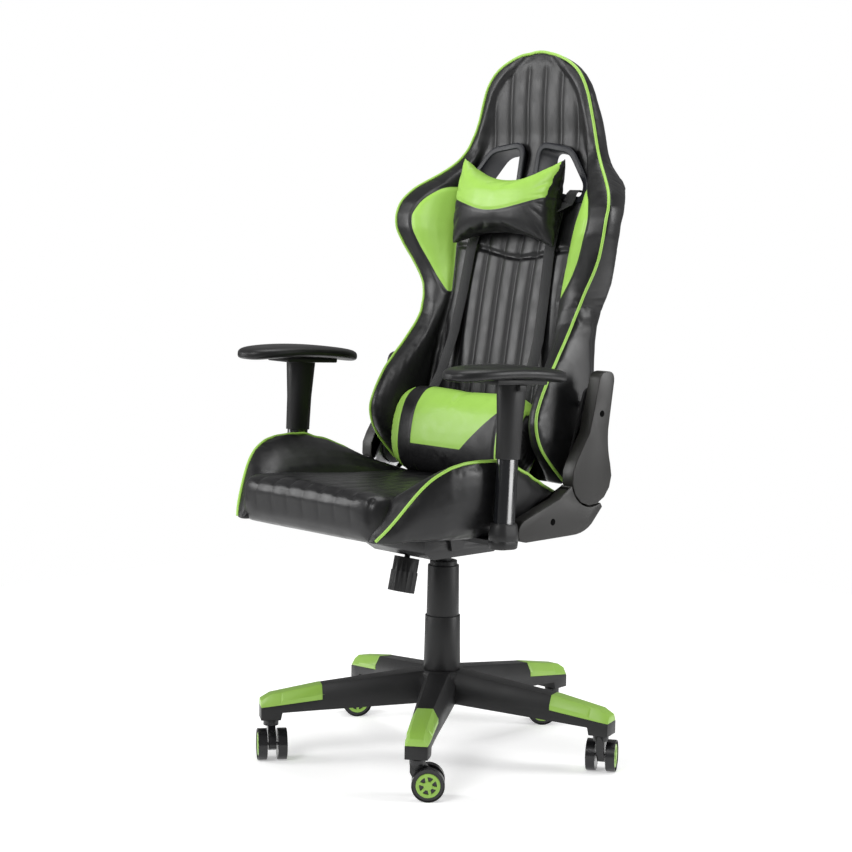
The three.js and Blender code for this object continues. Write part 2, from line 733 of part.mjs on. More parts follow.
function reclineLever() {
  const x0 = -(coverInner + coverDepth + gap) - 7;
  const y = pivot.y - 62;
  const z = pivot.z - 62;
  const arm = linkOutline(y, z, 13, y - 84, z - 6, 9);
  const lever = solidOf(sidePrism(arm, x0, x0 + 7));
  const hub = rod(9, 20, 16).rotateY(Math.PI / 2).translate(x0 + 1, y, z);
  return { lever: lever.add(solidOf(hub)), y, z };
}

function addSeat() {
  const shaped = cushionSolid().subtract(panSolid(gap));
  addPiece(seat, 'seat_pan', panSolid(0), finishes.blackSteel);
  addPiece(seat, 'seat_cushion', shaped, finishes.blackLeather);
  const { lever, y, z } = reclineLever();
  const bore = solidOf(rod(9 + gap, 60, 16).rotateY(Math.PI / 2)
    .translate(-coverInner - coverDepth - overcut, y, z));
  for (const [side, way] of [['left', 1], ['right', -1]]) {
    addPiece(seat, `recliner_disc_${side}`, reclinerSolid(way), finishes.steel);
    let cover = coverShellSolid(coverLowerOutline, way);
    if (way < 0) cover = cover.subtract(bore);
    addPiece(seat, `hinge_cover_lower_${side}`, cover, finishes.coverPlastic);
  }
  addPiece(seat, 'recline_lever', lever, finishes.darkPlastic);
}

// ---------------------------------------------------------------- armrests
function armBracket() {
  const half = bracketWidth / 2;
  const bar = block(panHalf - bracketReach, armX, postY - half, postY + half,
    -bracketThickness - gap, -gap);
  const inset = 2 * (postWall + gap);
  const plug = prism(stadium(postWide - inset, postLong - inset, 5), 60 + bracketThickness);
  return bar.add(solidOf(plug.translate(armX, postY, -bracketThickness - gap)));
}

function armPost() {
  const tube = solidOf(prism(stadium(postWide, postLong), postHeight));
  const boot = solidOf(reshape(prism(stadium(1, 1.4, 6), 3, 3), (x, y, step) => {
    const at = Math.round(step);
    const wide = [sleeveWide, sleeveWide + 5, sleeveWide + 5, sleeveWide - 1][at];
    const long = [sleeveLong, sleeveLong + 5, sleeveLong + 5, sleeveLong - 1][at];
    return [x * wide, (y / 1.4) * long, [0, 4, 14, bootHeight][at]];
  }));
  const inset = 2 * postWall;
  const bore = solidOf(prism(stadium(postWide - inset, postLong - inset, 5),
    postHeight + 2 * overcut).translate(0, 0, -overcut));
  const slotHalf = bracketWidth / 2 + gap;
  const slotTop = bootDrop;
  const slot = block(-sleeveWide, 0, -slotHalf, slotHalf,
    slotTop - bracketThickness - 2 * gap, slotTop);
  return tube.add(boot).subtract(bore).subtract(slot);
}

function armSleeve(way) {
  const outer = solidOf(reshape(prism(stadium(1, 1.4, 6), 2, 2), (x, y, step) => {
    const at = Math.round(step);
    const wide = [sleeveWide, sleeveWide + 2, sleeveWideTop][at];
    const long = [sleeveLong, sleeveLong + 2, sleeveLongTop][at];
    return [x * wide, (y / 1.4) * long, [0, 0.45, 1][at] * sleeveLength];
  }));
  const bore = solidOf(prism(stadium(postWide + 2 * gap, postLong + 2 * gap),
    sleeveLength - sleeveRoof + overcut).translate(0, 0, -overcut));
  const pocket = buttonSolid(gap).translate([0, 0, sleeveLength - sleeveRoof / 2 - 2]);
  const deep = pocket.add(pocket.translate([-buttonTravel - gap, 0, 0]));
  const solid = outer.subtract(bore).subtract(deep);
  return way > 0 ? solid : solid.mirror([1, 0, 0]);
}

function buttonSolid(grow) {
  const reach = sleeveWideTop / 2 + 6;
  return block(reach - 18 - grow, reach + grow * 10, -8 - grow, 8 + grow, -5 - grow, 5 + grow);
}

// Round-ended pad that droops towards both tips.
const padStations = [
  [-1, 0.4], [-0.95, 0.68], [-0.85, 0.87], [-0.68, 0.98], [-0.4, 1], [0, 1], [0.4, 1],
  [0.7, 0.97], [0.87, 0.84], [0.96, 0.64], [1, 0.38],
];

function armPad() {
  const section = outline([
    [-0.45, 0], [0.45, 0], [0.5, 0.3], [0.5, 0.62], [0.43, 0.9], [0.25, 1], [-0.25, 1],
    [-0.43, 0.9], [-0.5, 0.62], [-0.5, 0.3],
  ]);
  const steps = padStations.length - 1;
  const geometry = reshape(prism(section, steps, steps), (across, up, step) => {
    const [along, share] = padStations[Math.round(step)];
    return [across * share * padWidth, along * padLength / 2, up * padThickness - padDroop * along ** 2];
  });
  const foot = block(-padFootWidth / 2, padFootWidth / 2, -padFootLength / 2, padFootLength / 2,
    -padFootDrop, padThickness / 2);
  return solidOf(geometry).add(foot);
}

function addArmrest(side, way) {
  const place = (mesh, x, y, z) => mesh.position.set(way * x, y, z);
  const bracket = armBracket();
  addPiece(seat, `arm_bracket_${side}`, way > 0 ? bracket : bracket.mirror([1, 0, 0]),
    finishes.blackSteel);
  const post = way > 0 ? armPost() : armPost().mirror([1, 0, 0]);
  place(addPiece(seat, `arm_post_${side}`, post, finishes.glossPlastic), armX, postY, -bootDrop);
  place(addPiece(seat, `arm_sleeve_${side}`, armSleeve(way), finishes.darkPlastic),
    armX, postY, sleeveBottom);
  const padBase = sleeveBottom + sleeveLength + gap + padFootDrop;
  place(addPiece(seat, `arm_pad_${side}`, armPad(), finishes.darkPlastic),
    armX - padInset, postY + padShift, padBase);
  const button = way > 0 ? buttonSolid(0) : buttonSolid(0).mirror([1, 0, 0]);
  place(addPiece(seat, `arm_button_${side}`, button, finishes.darkPlastic),
    armX, postY, sleeveBottom + sleeveLength - sleeveRoof / 2 - 2);
}

// ---------------------------------------------------------------- backrest
const back = new THREE.Group();
back.position.set(0, reclinerY, reclinerZ);
back.rotation.x = radians(-backLean);
chair.add(back);

// Edge of the wings: half width and how far it stands from the pivot plane (minus = forward).
// The waist keeps its height over the pivot; above it, places follow the height of the back.
const upFrom = (share) => waist + share * (backHeight - waist);
const wingWidth = [
  [-22, seatHalfEnd], [34, hingeHalf * 0.94], [92, hingeHalf * 0.918], [waist, hingeHalf * 0.9],
  [upFrom(0.094), hingeHalf * 0.865], [upFrom(0.187), hingeHalf * 0.848],
  [upFrom(0.277), hingeHalf * 0.9], [upFrom(0.358), shoulderHalf * 0.897],
  [upFrom(0.437), shoulderHalf * 0.989], [upFrom(0.479), shoulderHalf],
  [upFrom(0.523), shoulderHalf * 0.989], [upFrom(0.57), shoulderHalf * 0.92],
  [upFrom(0.619), shoulderHalf * 0.79], [upFrom(0.666), shoulderHalf * 0.679],
  [upFrom(0.712), shoulderHalf * 0.611], [upFrom(0.796), shoulderHalf * 0.542],
  [upFrom(0.88), shoulderHalf * 0.481], [upFrom(0.934), shoulderHalf * 0.397],
  [upFrom(0.968), shoulderHalf * 0.32], [upFrom(0.99), shoulderHalf * 0.22],
  [backHeight, shoulderHalf * 0.092],
];
const wingForward = [
  [-22, 8], [0, -38], [34, -79], [71, -95], [92, -95], [waist, -77], [upFrom(0.094), -46],
  [upFrom(0.187), -21], [upFrom(0.277), -13], [upFrom(0.358), -27], [upFrom(0.437), -49],
  [upFrom(0.479), -52], [upFrom(0.523), -47], [upFrom(0.57), -33], [upFrom(0.619), -9],
  [upFrom(0.666), 7], [upFrom(0.712), 13], [upFrom(0.796), 11], [upFrom(0.88), 2],
  [backHeight, -6],
];
const panelFront = [
  [-22, 12], [20, 2], [upFrom(0.395), 0], [upFrom(0.597), 20], [upFrom(0.715), 24],
  [upFrom(0.833), 12], [backHeight, 0],
];
const rearPlane = [
  [-22, backRearPlane - 30], [0, backRearPlane - 12], [34, backRearPlane],
  [upFrom(0.563), backRearPlane - 2], [upFrom(0.766), backRearPlane - 4],
  [backHeight, backRearPlane - 22],
];
// Depth of the wing's side behind its edge: full below the waist, thin over it.
const sideDepth = [
  [-22, 60], [0, 100], [34, 150], [92, 170], [waist, 150], [upFrom(0.094), 116],
  [upFrom(0.187), 90], [upFrom(0.277), 78], [upFrom(0.358), 60], [upFrom(0.479), 56],
  [upFrom(0.57), 62], [upFrom(0.619), 74], [upFrom(0.8), 56], [upFrom(0.9), 36],
  [backHeight, 28],
];
const thinFrom = 0.75;            // share of the half width where the side starts to thin
const backStations = [
  -22, 0, 34, 71, 92, waist,
  ...[0.094, 0.187, 0.277, 0.358, 0.437, 0.479, 0.523, 0.57, 0.619, 0.666, 0.712, 0.796, 0.88,
    0.934, 0.968, 0.99, 1].map(upFrom),
];

// across runs from -1 to 1 between the wing edges; deep is 0 at the front, 1 where the foam
// meets the rear cover and 2 at the rear.
function backPoint(across, deep, z) {
  const side = Math.abs(across);
  const front = between(panelFront, z);
  const wing = between(wingForward, z);
  const slope = THREE.MathUtils.smoothstep(side, 0.7, 1);
  const face = front + (wing - front) * slope;
  const straight = between(rearPlane, z);
  const edgeRear = Math.min(straight, wing + between(sideDepth, z));
  const rear = straight + (edgeRear - straight) * THREE.MathUtils.smoothstep(side, thinFrom, 1);
  const split = rear - skinDepth;
  const y = deep < 1 ? face + deep * (split - face) : split + (deep - 1) * skinDepth;
  return [across * between(wingWidth, z), y, z];
}

function backLoft(ring) {
  const steps = backStations.length - 1;
  const geometry = reshape(prism(outline(ring), steps, steps), (across, deep, step) => (
    backPoint(across, deep, backStations[Math.round(step)])
  ));
  return solidOf(geometry);
}

const rearMarks = [0.97, 0.92, 0.84, thinFrom, 0, -thinFrom, -0.84, -0.92, -0.97];

function backFoam() {
  const marks = [0, 0.5, 0.7, 0.8, 0.9, 1];
  const front = [...marks.slice(1).reverse().map((m) => [-m, 0]), ...marks.map((m) => [m, 0])];
  const rear = rearMarks.map((m) => [m, 1]);
  return backLoft([...front, [0.99, 0.6], ...rear, [-0.99, 0.6]]);
}

function backSkin() {
  const near = 1 + gap / skinDepth;
  const front = rearMarks.map((m) => [-m, near]);
  const rear = [0.93, 0.88, 0.81, 0.72, -0.72, -0.81, -0.88, -0.93].map((m) => [m, 2]);
  return backLoft([...front, ...rear]);
}

// Centre of the hoop behind the pivot plane: its legs stand forward, between the side plates.
function hoopDepth(z) {
  const upper = between(rearPlane, z) - skinDepth - frameTubeRadius - 1;
  return between([[waist, frameLowDepth], [upFrom(0.187), upper]], z);
}

function hoopSide(z) {
  return Math.min(between(wingWidth, z) - frameInset, hoopHalf);
}

// Tube hoop behind the foam, from one side plate over the head to the other.
function hoopPath() {
  const stops = [6, 120, upFrom(0.187), upFrom(0.327), upFrom(0.479), upFrom(0.597),
    upFrom(0.698), upFrom(0.766), frameTop - 20];
  const left = stops.map((z) => new THREE.Vector3(hoopSide(z), hoopDepth(z), z));
  const right = stops.map((z) => new THREE.Vector3(-hoopSide(z), hoopDepth(z), z)).reverse();
  const crown = new THREE.Vector3(0, hoopDepth(frameTop), frameTop);
  return new THREE.CatmullRomCurve3([...left, crown, ...right], false, 'centripetal');
}

function hoopTube(radius, open) {
  const points = [];
  const sides = 8;
  for (let i = 0; i < sides; i += 1) {
    const turn = (2 * Math.PI * (i + 0.5)) / sides;
    points.push([radius * Math.cos(turn), radius * Math.sin(turn)]);
  }
  const options = { steps: 26, extrudePath: hoopPath(), bevelEnabled: false };
  const tube = solidOf(new THREE.ExtrudeGeometry(outline(points), options));
  if (!open) return tube;
  let slot = tube;
  for (const shift of [14, 28]) slot = slot.add(tube.translate([0, shift, 0]));
  return slot;
}

function backPlate(way) {
  const x1 = backPlateInner + sidePlateThickness;
  const shape = linkOutline(0, 0, 27, frameLowDepth / 2, plateRise, 15);
  const hole = new THREE.Path();
  hole.absarc(0, 0, reclinerPinRadius + gap, 0, 2 * Math.PI, false);
  shape.holes.push(hole);
  const plate = solidOf(sidePrism(shape, backPlateInner, x1));
  return way > 0 ? plate : plate.mirror([1, 0, 0]);
}

// Studs that tie a side plate through the foam to the hoop.
function backStuds(way, grow) {
  let studs = null;
  for (const z of studPlaces) {
    const start = hoopSide(z);
    const length = backPlateInner + 1 - start;
    const bar = solidOf(rod(studRadius + grow, length, 10).rotateY(Math.PI / 2)
      .translate(start, hoopDepth(z), z));
    studs = studs ? studs.add(bar) : bar;
  }
  return way > 0 ? studs : studs.mirror([1, 0, 0]);
}

function backFrameSolid() {
  let frame = hoopTube(frameTubeRadius, false);
  for (const way of [-1, 1]) frame = frame.add(backPlate(way)).add(backStuds(way, 0));
  return frame;
}

// ---------------------------------------------------------------- head openings
function openingOutline(grow) {
  return outline([
    [openingInner - grow, openingBottom + openingSlant - grow],
    [openingBottomOuter + grow, openingBottom - grow],
    [openingBottomOuter + grow * 0.8, openingBottom + 22],
    [openingTopOuter + grow, openingTop - 12 + grow],
    [openingInner - grow, openingTop + grow],
  ]);
}

function openingTool(grow, y0, y1) {
  return solidOf(reshape(prism(openingOutline(grow), 1), (x, z, t) => [x, y1 - t * (y1 - y0), z]));
}

const bezelFront = 22;

function bezelSolid() {
  const rear = backRearPlane + 3;
  const tube = openingTool(bezelWall, bezelFront, rear);
  const lip = openingTool(bezelWall + bezelLip, bezelFront - 4, bezelFront);
  const joined = tube.add(lip.translate([0, 0.2, 0]));
  return joined.subtract(openingTool(0, bezelFront - 20, rear + 20));
}

function addBack() {
  const through = (way) => {
    const tool = openingTool(bezelWall + gap, -80, 140)
      .add(openingTool(bezelWall + bezelLip + gap, -80, bezelFront + gap + 0.2));
    return way > 0 ? tool : tool.mirror([1, 0, 0]);
  };
  let foam = backFoam().subtract(hoopTube(frameTubeRadius + gap, true));
  let skin = backSkin();
  for (const way of [-1, 1]) {
    foam = foam.subtract(through(way)).subtract(backStuds(way, gap));
    skin = skin.subtract(through(way));
  }
  foam = foam.subtract(skin.translate([0, -gap, 0]));
  addPiece(back, 'back_frame', backFrameSolid(), finishes.blackSteel);
  addPiece(back, 'back_cushion', foam, finishes.blackLeather);
  addPiece(back, 'back_cover', skin, finishes.blackLeather);
  for (const [side, way] of [['left', 1], ['right', -1]]) {
    const bezel = way > 0 ? bezelSolid() : bezelSolid().mirror([1, 0, 0]);
    addPiece(back, `head_bezel_${side}`, bezel, finishes.glossPlastic);
    addPiece(back, `hinge_cover_upper_${side}`, coverShellSolid(coverUpperOutline, way),
      finishes.coverPlastic);
  }
}

// Upper cover: round about the pivot, leaning forward to a blunt top.
function coverUpperOutline(inset) {
  const round = coverRound - inset;
  const shape = new THREE.Shape();
  const top = coverRise - inset;
  shape.absarc(0, 0, round, radians(152), radians(392), false);
  shape.quadraticCurveTo(28 - inset, 52, 24 - inset, 84);
  shape.lineTo(22 - inset, top - 16);
  shape.quadraticCurveTo(21 - inset, top, 8, top);
  shape.quadraticCurveTo(-14 + inset, top - 1, -16 + inset, top - 16);
  shape.quadraticCurveTo(-18 + inset, 110, -22 + inset, 72);
  return shape;
}

// ---------------------------------------------------------------- pillows
function pillowSolid(size) {
  const body = new THREE.SphereGeometry(1, 20, 14);
  const squared = (value, power) => Math.sign(value) * Math.abs(value) ** power;
  return reshape(body, (x, y, z) => [
    squared(x, 0.55) * (size.width / 2),
    squared(y, 0.8) * (size.thickness / 2),
    squared(z, 0.55) * (size.height / 2),
  ]);
}

// How far back a pillow can go before it meets the panel or a wing.
function pillowDepth(body, centre) {
  const spots = body.attributes.position;
  let depth = Infinity;
  for (let i = 0; i < spots.count; i += 1) {
    const z = centre + spots.getZ(i);
    const across = spots.getX(i) / between(wingWidth, z);
    const face = backPoint(across, 0, z)[1];
    depth = Math.min(depth, face - spots.getY(i) - pillowClearance);
  }
  return depth;
}

function addPillow(name, size, material) {
  const body = pillowSolid(size);
  const mesh = addPiece(back, name, body, material);
  mesh.position.set(0, pillowDepth(body, size.centre), size.centre);
}

// ---------------------------------------------------------------- assembly
for (let i = 0; i < armCount; i += 1) addCaster(i);
addBase();
addLift();
addMechanism();
addSeat();
addArmrest('left', 1);
addArmrest('right', -1);
addBack();
addPillow('head_pillow', headPillow, finishes.greenLeather);
addPillow('lumbar_pillow', lumbarPillow, finishes.greenLeather);

export default chair;
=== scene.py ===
import json
import math

import bmesh
import bpy
import numpy as np
from mathutils import Matrix, Vector
from mathutils.bvhtree import BVHTree


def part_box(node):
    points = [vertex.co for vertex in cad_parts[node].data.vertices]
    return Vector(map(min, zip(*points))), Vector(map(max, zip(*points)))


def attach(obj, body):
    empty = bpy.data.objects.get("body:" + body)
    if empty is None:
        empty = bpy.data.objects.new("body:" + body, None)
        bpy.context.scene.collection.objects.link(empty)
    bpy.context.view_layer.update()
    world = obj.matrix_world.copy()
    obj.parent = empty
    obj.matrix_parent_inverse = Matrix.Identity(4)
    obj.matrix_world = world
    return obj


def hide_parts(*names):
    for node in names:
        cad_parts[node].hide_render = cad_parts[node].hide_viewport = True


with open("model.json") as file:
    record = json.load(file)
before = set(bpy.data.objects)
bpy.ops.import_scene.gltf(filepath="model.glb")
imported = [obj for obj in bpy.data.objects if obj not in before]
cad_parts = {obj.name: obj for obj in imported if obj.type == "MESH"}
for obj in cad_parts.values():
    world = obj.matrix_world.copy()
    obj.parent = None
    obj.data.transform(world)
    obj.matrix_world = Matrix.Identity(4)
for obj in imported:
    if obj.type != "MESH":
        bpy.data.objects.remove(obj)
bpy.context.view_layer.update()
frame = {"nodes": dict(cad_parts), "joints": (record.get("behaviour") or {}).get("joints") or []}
nodes = frame["nodes"]
jointNamed = {joint["name"]: joint for joint in frame["joints"]}

mm = 0.001
sideNames = (("left", 1), ("right", -1))
chairFrame = {"columnX": 0.0125, "seatHeight": 0.418, "seatTilt": 3,
              "pivotY": 0.09, "pivotZ": 0.513, "backLean": 10}


# places
def backPlace(x, y, z):  # millimetres in the leaning back's frame to metres in the chair's
    lean = math.radians(chairFrame["backLean"])
    return Vector((chairFrame["columnX"] + x * mm,
                   chairFrame["pivotY"] + (y * math.cos(lean) + z * math.sin(lean)) * mm,
                   chairFrame["pivotZ"] + (z * math.cos(lean) - y * math.sin(lean)) * mm))


def backLocal(point):  # the other way round
    lean = math.radians(chairFrame["backLean"])
    y = (point.y - chairFrame["pivotY"]) / mm
    z = (point.z - chairFrame["pivotZ"]) / mm
    return ((point.x - chairFrame["columnX"]) / mm, y * math.cos(lean) - z * math.sin(lean),
            y * math.sin(lean) + z * math.cos(lean))


def seatPlace(x, y, z):
    tilt = math.radians(chairFrame["seatTilt"])
    return Vector((chairFrame["columnX"] + x * mm,
                   (y * math.cos(tilt) + z * math.sin(tilt)) * mm,
                   chairFrame["seatHeight"] + (z * math.cos(tilt) - y * math.sin(tilt)) * mm))


def seatLocal(point):
    tilt = math.radians(chairFrame["seatTilt"])
    y = point.y / mm
    z = (point.z - chairFrame["seatHeight"]) / mm
    return ((point.x - chairFrame["columnX"]) / mm, y * math.cos(tilt) - z * math.sin(tilt),
            y * math.sin(tilt) + z * math.cos(tilt))


def smoothStep(low, high, value):
    t = min(max((value - low) / (high - low), 0), 1)
    return t * t * (3 - 2 * t)


def between(stations, at):  # a smooth curve through [place, value] stations
    if at <= stations[0][0]:
        return stations[0][1]
    if at >= stations[-1][0]:
        return stations[-1][1]
    for i in range(1, len(stations)):
        if at <= stations[i][0]:
            break
    p0, v0 = stations[i - 1]
    p1, v1 = stations[i]
    before = stations[i - 2] if i > 1 else stations[i - 1]
    after = stations[i + 1] if i + 1 < len(stations) else stations[i]
    slope0 = (v1 - before[1]) / (p1 - before[0])
    slope1 = (after[1] - v0) / (after[0] - p0)
    t = (at - p0) / (p1 - p0)
    span = p1 - p0
    return ((2 * t ** 3 - 3 * t ** 2 + 1) * v0 + (t ** 3 - 2 * t ** 2 + t) * span * slope0
            + (3 * t ** 2 - 2 * t ** 3) * v1 + (t ** 3 - t ** 2) * span * slope1)


def distanceToLoop(x, z, corners):  # how far inside a closed outline, minus outside
    nearest = 1e9
    inside = False
    count = len(corners)
    for i in range(count):
        x0, z0 = corners[i]
        x1, z1 = corners[(i + 1) % count]
        dx, dz = x1 - x0, z1 - z0
        t = min(max(((x - x0) * dx + (z - z0) * dz) / (dx * dx + dz * dz), 0), 1)
        nearest = min(nearest, math.hypot(x - x0 - t * dx, z - z0 - t * dz))
        if (z0 > z) != (z1 > z) and x < x0 + (z - z0) * dx / dz:
            inside = not inside
    return nearest if inside else -nearest


# tools
def pickOnly(piece):
    bpy.ops.object.select_all(action="DESELECT")
    piece.select_set(True)
    bpy.context.view_layer.objects.active = piece


def applyModifier(piece, kind, name, **settings):
    pickOnly(piece)
    modifier = piece.modifiers.new(name, kind)
    for key, value in settings.items():
        setattr(modifier, key, value)
    bpy.ops.object.modifier_apply(modifier=name)


def smoothShade(piece, angle=38):
    pickOnly(piece)
    bpy.ops.object.shade_smooth_by_angle(angle=math.radians(angle))


def loftPiece(name, rings):  # closed loops joined end to end, with a pole at each end
    count = len(rings[0])
    points = [point for ring in rings for point in ring]
    faces = []
    for r in range(len(rings) - 1):
        for i in range(count):
            j = (i + 1) % count
            faces.append((r * count + i, r * count + j, (r + 1) * count + j, (r + 1) * count + i))
    for ring, start, way in ((rings[0], 0, 1), (rings[-1], (len(rings) - 1) * count, -1)):
        middle = sum(ring, Vector()) / count
        points.append(middle)
        for i in range(count):
            j = (i + 1) % count
            tri = (len(points) - 1, start + j, start + i)
            faces.append(tri if way > 0 else tri[::-1])
    mesh = bpy.data.meshes.new(name)
    mesh.from_pydata([tuple(p) for p in points], [], faces)
    piece = bpy.data.objects.new(name, mesh)
    bpy.context.scene.collection.objects.link(piece)
    faceOutwards(piece)
    return piece


def faceOutwards(piece):
    pickOnly(piece)
    bpy.ops.object.mode_set(mode="EDIT")
    bpy.ops.mesh.select_all(action="SELECT")
    bpy.ops.mesh.remove_doubles(threshold=0.00002)
    bpy.ops.mesh.normals_make_consistent(inside=False)
    bpy.ops.object.mode_set(mode="OBJECT")


def loopPiece(name, path, profileAt):  # a section carried round a closed path
    rings = [profileAt(i) for i in range(len(path))]
    count = len(rings[0])
    points = [point for ring in rings for point in ring]
    faces = []
    for r in range(len(rings)):
        s = (r + 1) % len(rings)
        for i in range(count):
            j = (i + 1) % count
            faces.append((r * count + i, r * count + j, s * count + j, s * count + i))
    mesh = bpy.data.meshes.new(name)
    mesh.from_pydata([tuple(p) for p in points], [], faces)
    piece = bpy.data.objects.new(name, mesh)
    bpy.context.scene.collection.objects.link(piece)
    faceOutwards(piece)
    return piece


def coordinates(piece):
    flat = np.zeros(len(piece.data.vertices) * 3)
    piece.data.vertices.foreach_get("co", flat)
    return flat.reshape(-1, 3)


def setCoordinates(piece, places):
    piece.data.vertices.foreach_set("co", places.reshape(-1))
    piece.data.update()


def stuffPiece(piece, settings):  # remesh, fill with air as cloth, cap the swelling, refine
    applyModifier(piece, "REMESH", "even", mode="VOXEL", voxel_size=settings["voxel"] * mm)
    rest = coordinates(piece)
    scene = bpy.context.scene
    pickOnly(piece)
    cloth = piece.modifiers.new("stuffing", "CLOTH")
    cloth.settings.use_pressure = True
    cloth.settings.uniform_pressure_force = settings["pressure"]
    cloth.settings.effector_weights.gravity = 0
    cloth.settings.quality = 4
    cloth.settings.tension_stiffness = settings["stiffness"]
    cloth.settings.compression_stiffness = settings["stiffness"]
    cloth.point_cache.frame_start = 1
    cloth.point_cache.frame_end = settings["frames"]
    for step in range(1, settings["frames"] + 1):
        scene.frame_set(step)
    bpy.ops.object.modifier_apply(modifier="stuffing")
    scene.frame_set(1)
    moved = coordinates(piece) - rest
    length = np.linalg.norm(moved, axis=1, keepdims=True)
    moved *= np.minimum(1, settings["cap"] * mm / np.maximum(length, 1e-9))
    setCoordinates(piece, rest + moved)
    if settings.get("refine", 1):
        applyModifier(piece, "SUBSURF", "fine", levels=1, render_levels=1)
    pickOnly(piece)
    bpy.ops.object.shade_smooth()


def carvePiece(piece, depthAt):  # moves each point in along its normal by depthAt(point, normal) mm
    places = coordinates(piece)
    normals = np.array([tuple(v.normal) for v in piece.data.vertices])
    depth = np.array([depthAt(v.co, v.normal) for v in piece.data.vertices]) * mm
    setCoordinates(piece, places - normals * depth[:, None])


def tintPiece(piece, insideAt):  # writes how far inside the second colour each point is
    tint = piece.data.attributes.new("tint", "FLOAT", "POINT")
    values = [min(max(0.5 + insideAt(v.co, v.normal) / 20, 0), 1) for v in piece.data.vertices]
    tint.data.foreach_set("value", values)


def pipePiece(name, points, radius, closed=False):  # a round cord sewn along an edge
    curve = bpy.data.curves.new(name, "CURVE")
    curve.dimensions = "3D"
    curve.bevel_depth = radius * mm
    curve.bevel_resolution = 3
    curve.use_fill_caps = not closed
    spline = curve.splines.new("NURBS")
    spline.points.add(len(points) - 1)
    for point, place in zip(spline.points, points):
        point.co = (*place, 1)
    spline.use_endpoint_u = not closed
    spline.use_cyclic_u = closed
    spline.order_u = 4
    spline.resolution_u = 3
    piece = bpy.data.objects.new(name, curve)
    bpy.context.scene.collection.objects.link(piece)
    pickOnly(piece)
    bpy.ops.object.convert(target="MESH")
    piece = bpy.context.view_layer.objects.active
    pickOnly(piece)
    bpy.ops.object.shade_smooth()
    return piece


def dress(piece, material, body, replaced=()):
    piece.data.materials.clear()
    piece.data.materials.append(material)
    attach(piece, body)
    if replaced:
        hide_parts(*replaced)
    return piece


def refinedCopy(nodeName, width, segments=2, angle=38):  # a CAD shape with eased edges
    source = nodes[nodeName]
    piece = bpy.data.objects.new(nodeName + "_eased", source.data.copy())
    bpy.context.scene.collection.objects.link(piece)
    pickOnly(piece)
    bpy.ops.object.mode_set(mode="EDIT")
    bpy.ops.mesh.select_all(action="SELECT")
    bpy.ops.mesh.remove_doubles(threshold=0.00002)
    bpy.ops.mesh.dissolve_limited(angle_limit=math.radians(1))
    bpy.ops.object.mode_set(mode="OBJECT")
    applyModifier(piece, "BEVEL", "eased", width=width * mm, segments=segments,
                  limit_method="ANGLE", angle_limit=math.radians(angle),
                  use_clamp_overlap=True, harden_normals=False)
    smoothShade(piece, 40)
    return piece


# materials
def groupNamed(name, inputs, outputs):
    group = bpy.data.node_groups.new(name, "ShaderNodeTree")
    for label, kind, value in inputs:
        socket = group.interface.new_socket(name=label, in_out="INPUT", socket_type=kind)
        if value is not None:
            socket.default_value = value
    for label, kind in outputs:
        group.interface.new_socket(name=label, in_out="OUTPUT", socket_type=kind)
    return group, group.nodes.new("NodeGroupInput"), group.nodes.new("NodeGroupOutput")


def addNode(tree, kind, **settings):
    node = tree.nodes.new(kind)
    for key, value in settings.items():
        setattr(node, key, value)
    return node


def makeHideGrain():  # pores of synthetic leather with soft creases under them
    group, inlet, outlet = groupNamed(
        "hideGrain",
        (("Place", "NodeSocketVector", None), ("Pore Scale", "NodeSocketFloat", 900),
         ("Crease Scale", "NodeSocketFloat", 14), ("Crease Share", "NodeSocketFloat", 0.5)),
        (("Height", "NodeSocketFloat"), ("Tone", "NodeSocketFloat"), ("Shine", "NodeSocketFloat")))
    link = group.links.new
    pores = addNode(group, "ShaderNodeTexVoronoi", feature="SMOOTH_F1")
    pores.inputs["Smoothness"].default_value = 0.4
    link(inlet.outputs["Place"], pores.inputs["Vector"])
    link(inlet.outputs["Pore Scale"], pores.inputs["Scale"])
    creases = addNode(group, "ShaderNodeTexNoise")
    creases.inputs["Detail"].default_value = 3
    creases.inputs["Distortion"].default_value = 0.7
    link(inlet.outputs["Place"], creases.inputs["Vector"])
    link(inlet.outputs["Crease Scale"], creases.inputs["Scale"])
    blotch = addNode(group, "ShaderNodeTexNoise")
    blotch.inputs["Scale"].default_value = 45
    blotch.inputs["Detail"].default_value = 4
    link(inlet.outputs["Place"], blotch.inputs["Vector"])
    share = addNode(group, "ShaderNodeMath", operation="MULTIPLY")
    link(creases.outputs["Fac"], share.inputs[0])
    link(inlet.outputs["Crease Share"], share.inputs[1])
    poreShare = addNode(group, "ShaderNodeMath", operation="MULTIPLY")
    poreShare.inputs[1].default_value = 0.22
    link(pores.outputs["Distance"], poreShare.inputs[0])
    total = addNode(group, "ShaderNodeMath", operation="ADD")
    link(share.outputs[0], total.inputs[0])
    link(poreShare.outputs[0], total.inputs[1])
    link(total.outputs[0], outlet.inputs["Height"])
    link(blotch.outputs["Fac"], outlet.inputs["Tone"])
    shine = addNode(group, "ShaderNodeMapRange")
    shine.inputs["From Min"].default_value = 0.3
    shine.inputs["From Max"].default_value = 0.7
    shine.inputs["To Min"].default_value = -0.05
    shine.inputs["To Max"].default_value = 0.07
    link(blotch.outputs["Fac"], shine.inputs["Value"])
    link(shine.outputs[0], outlet.inputs["Shine"])
    return group


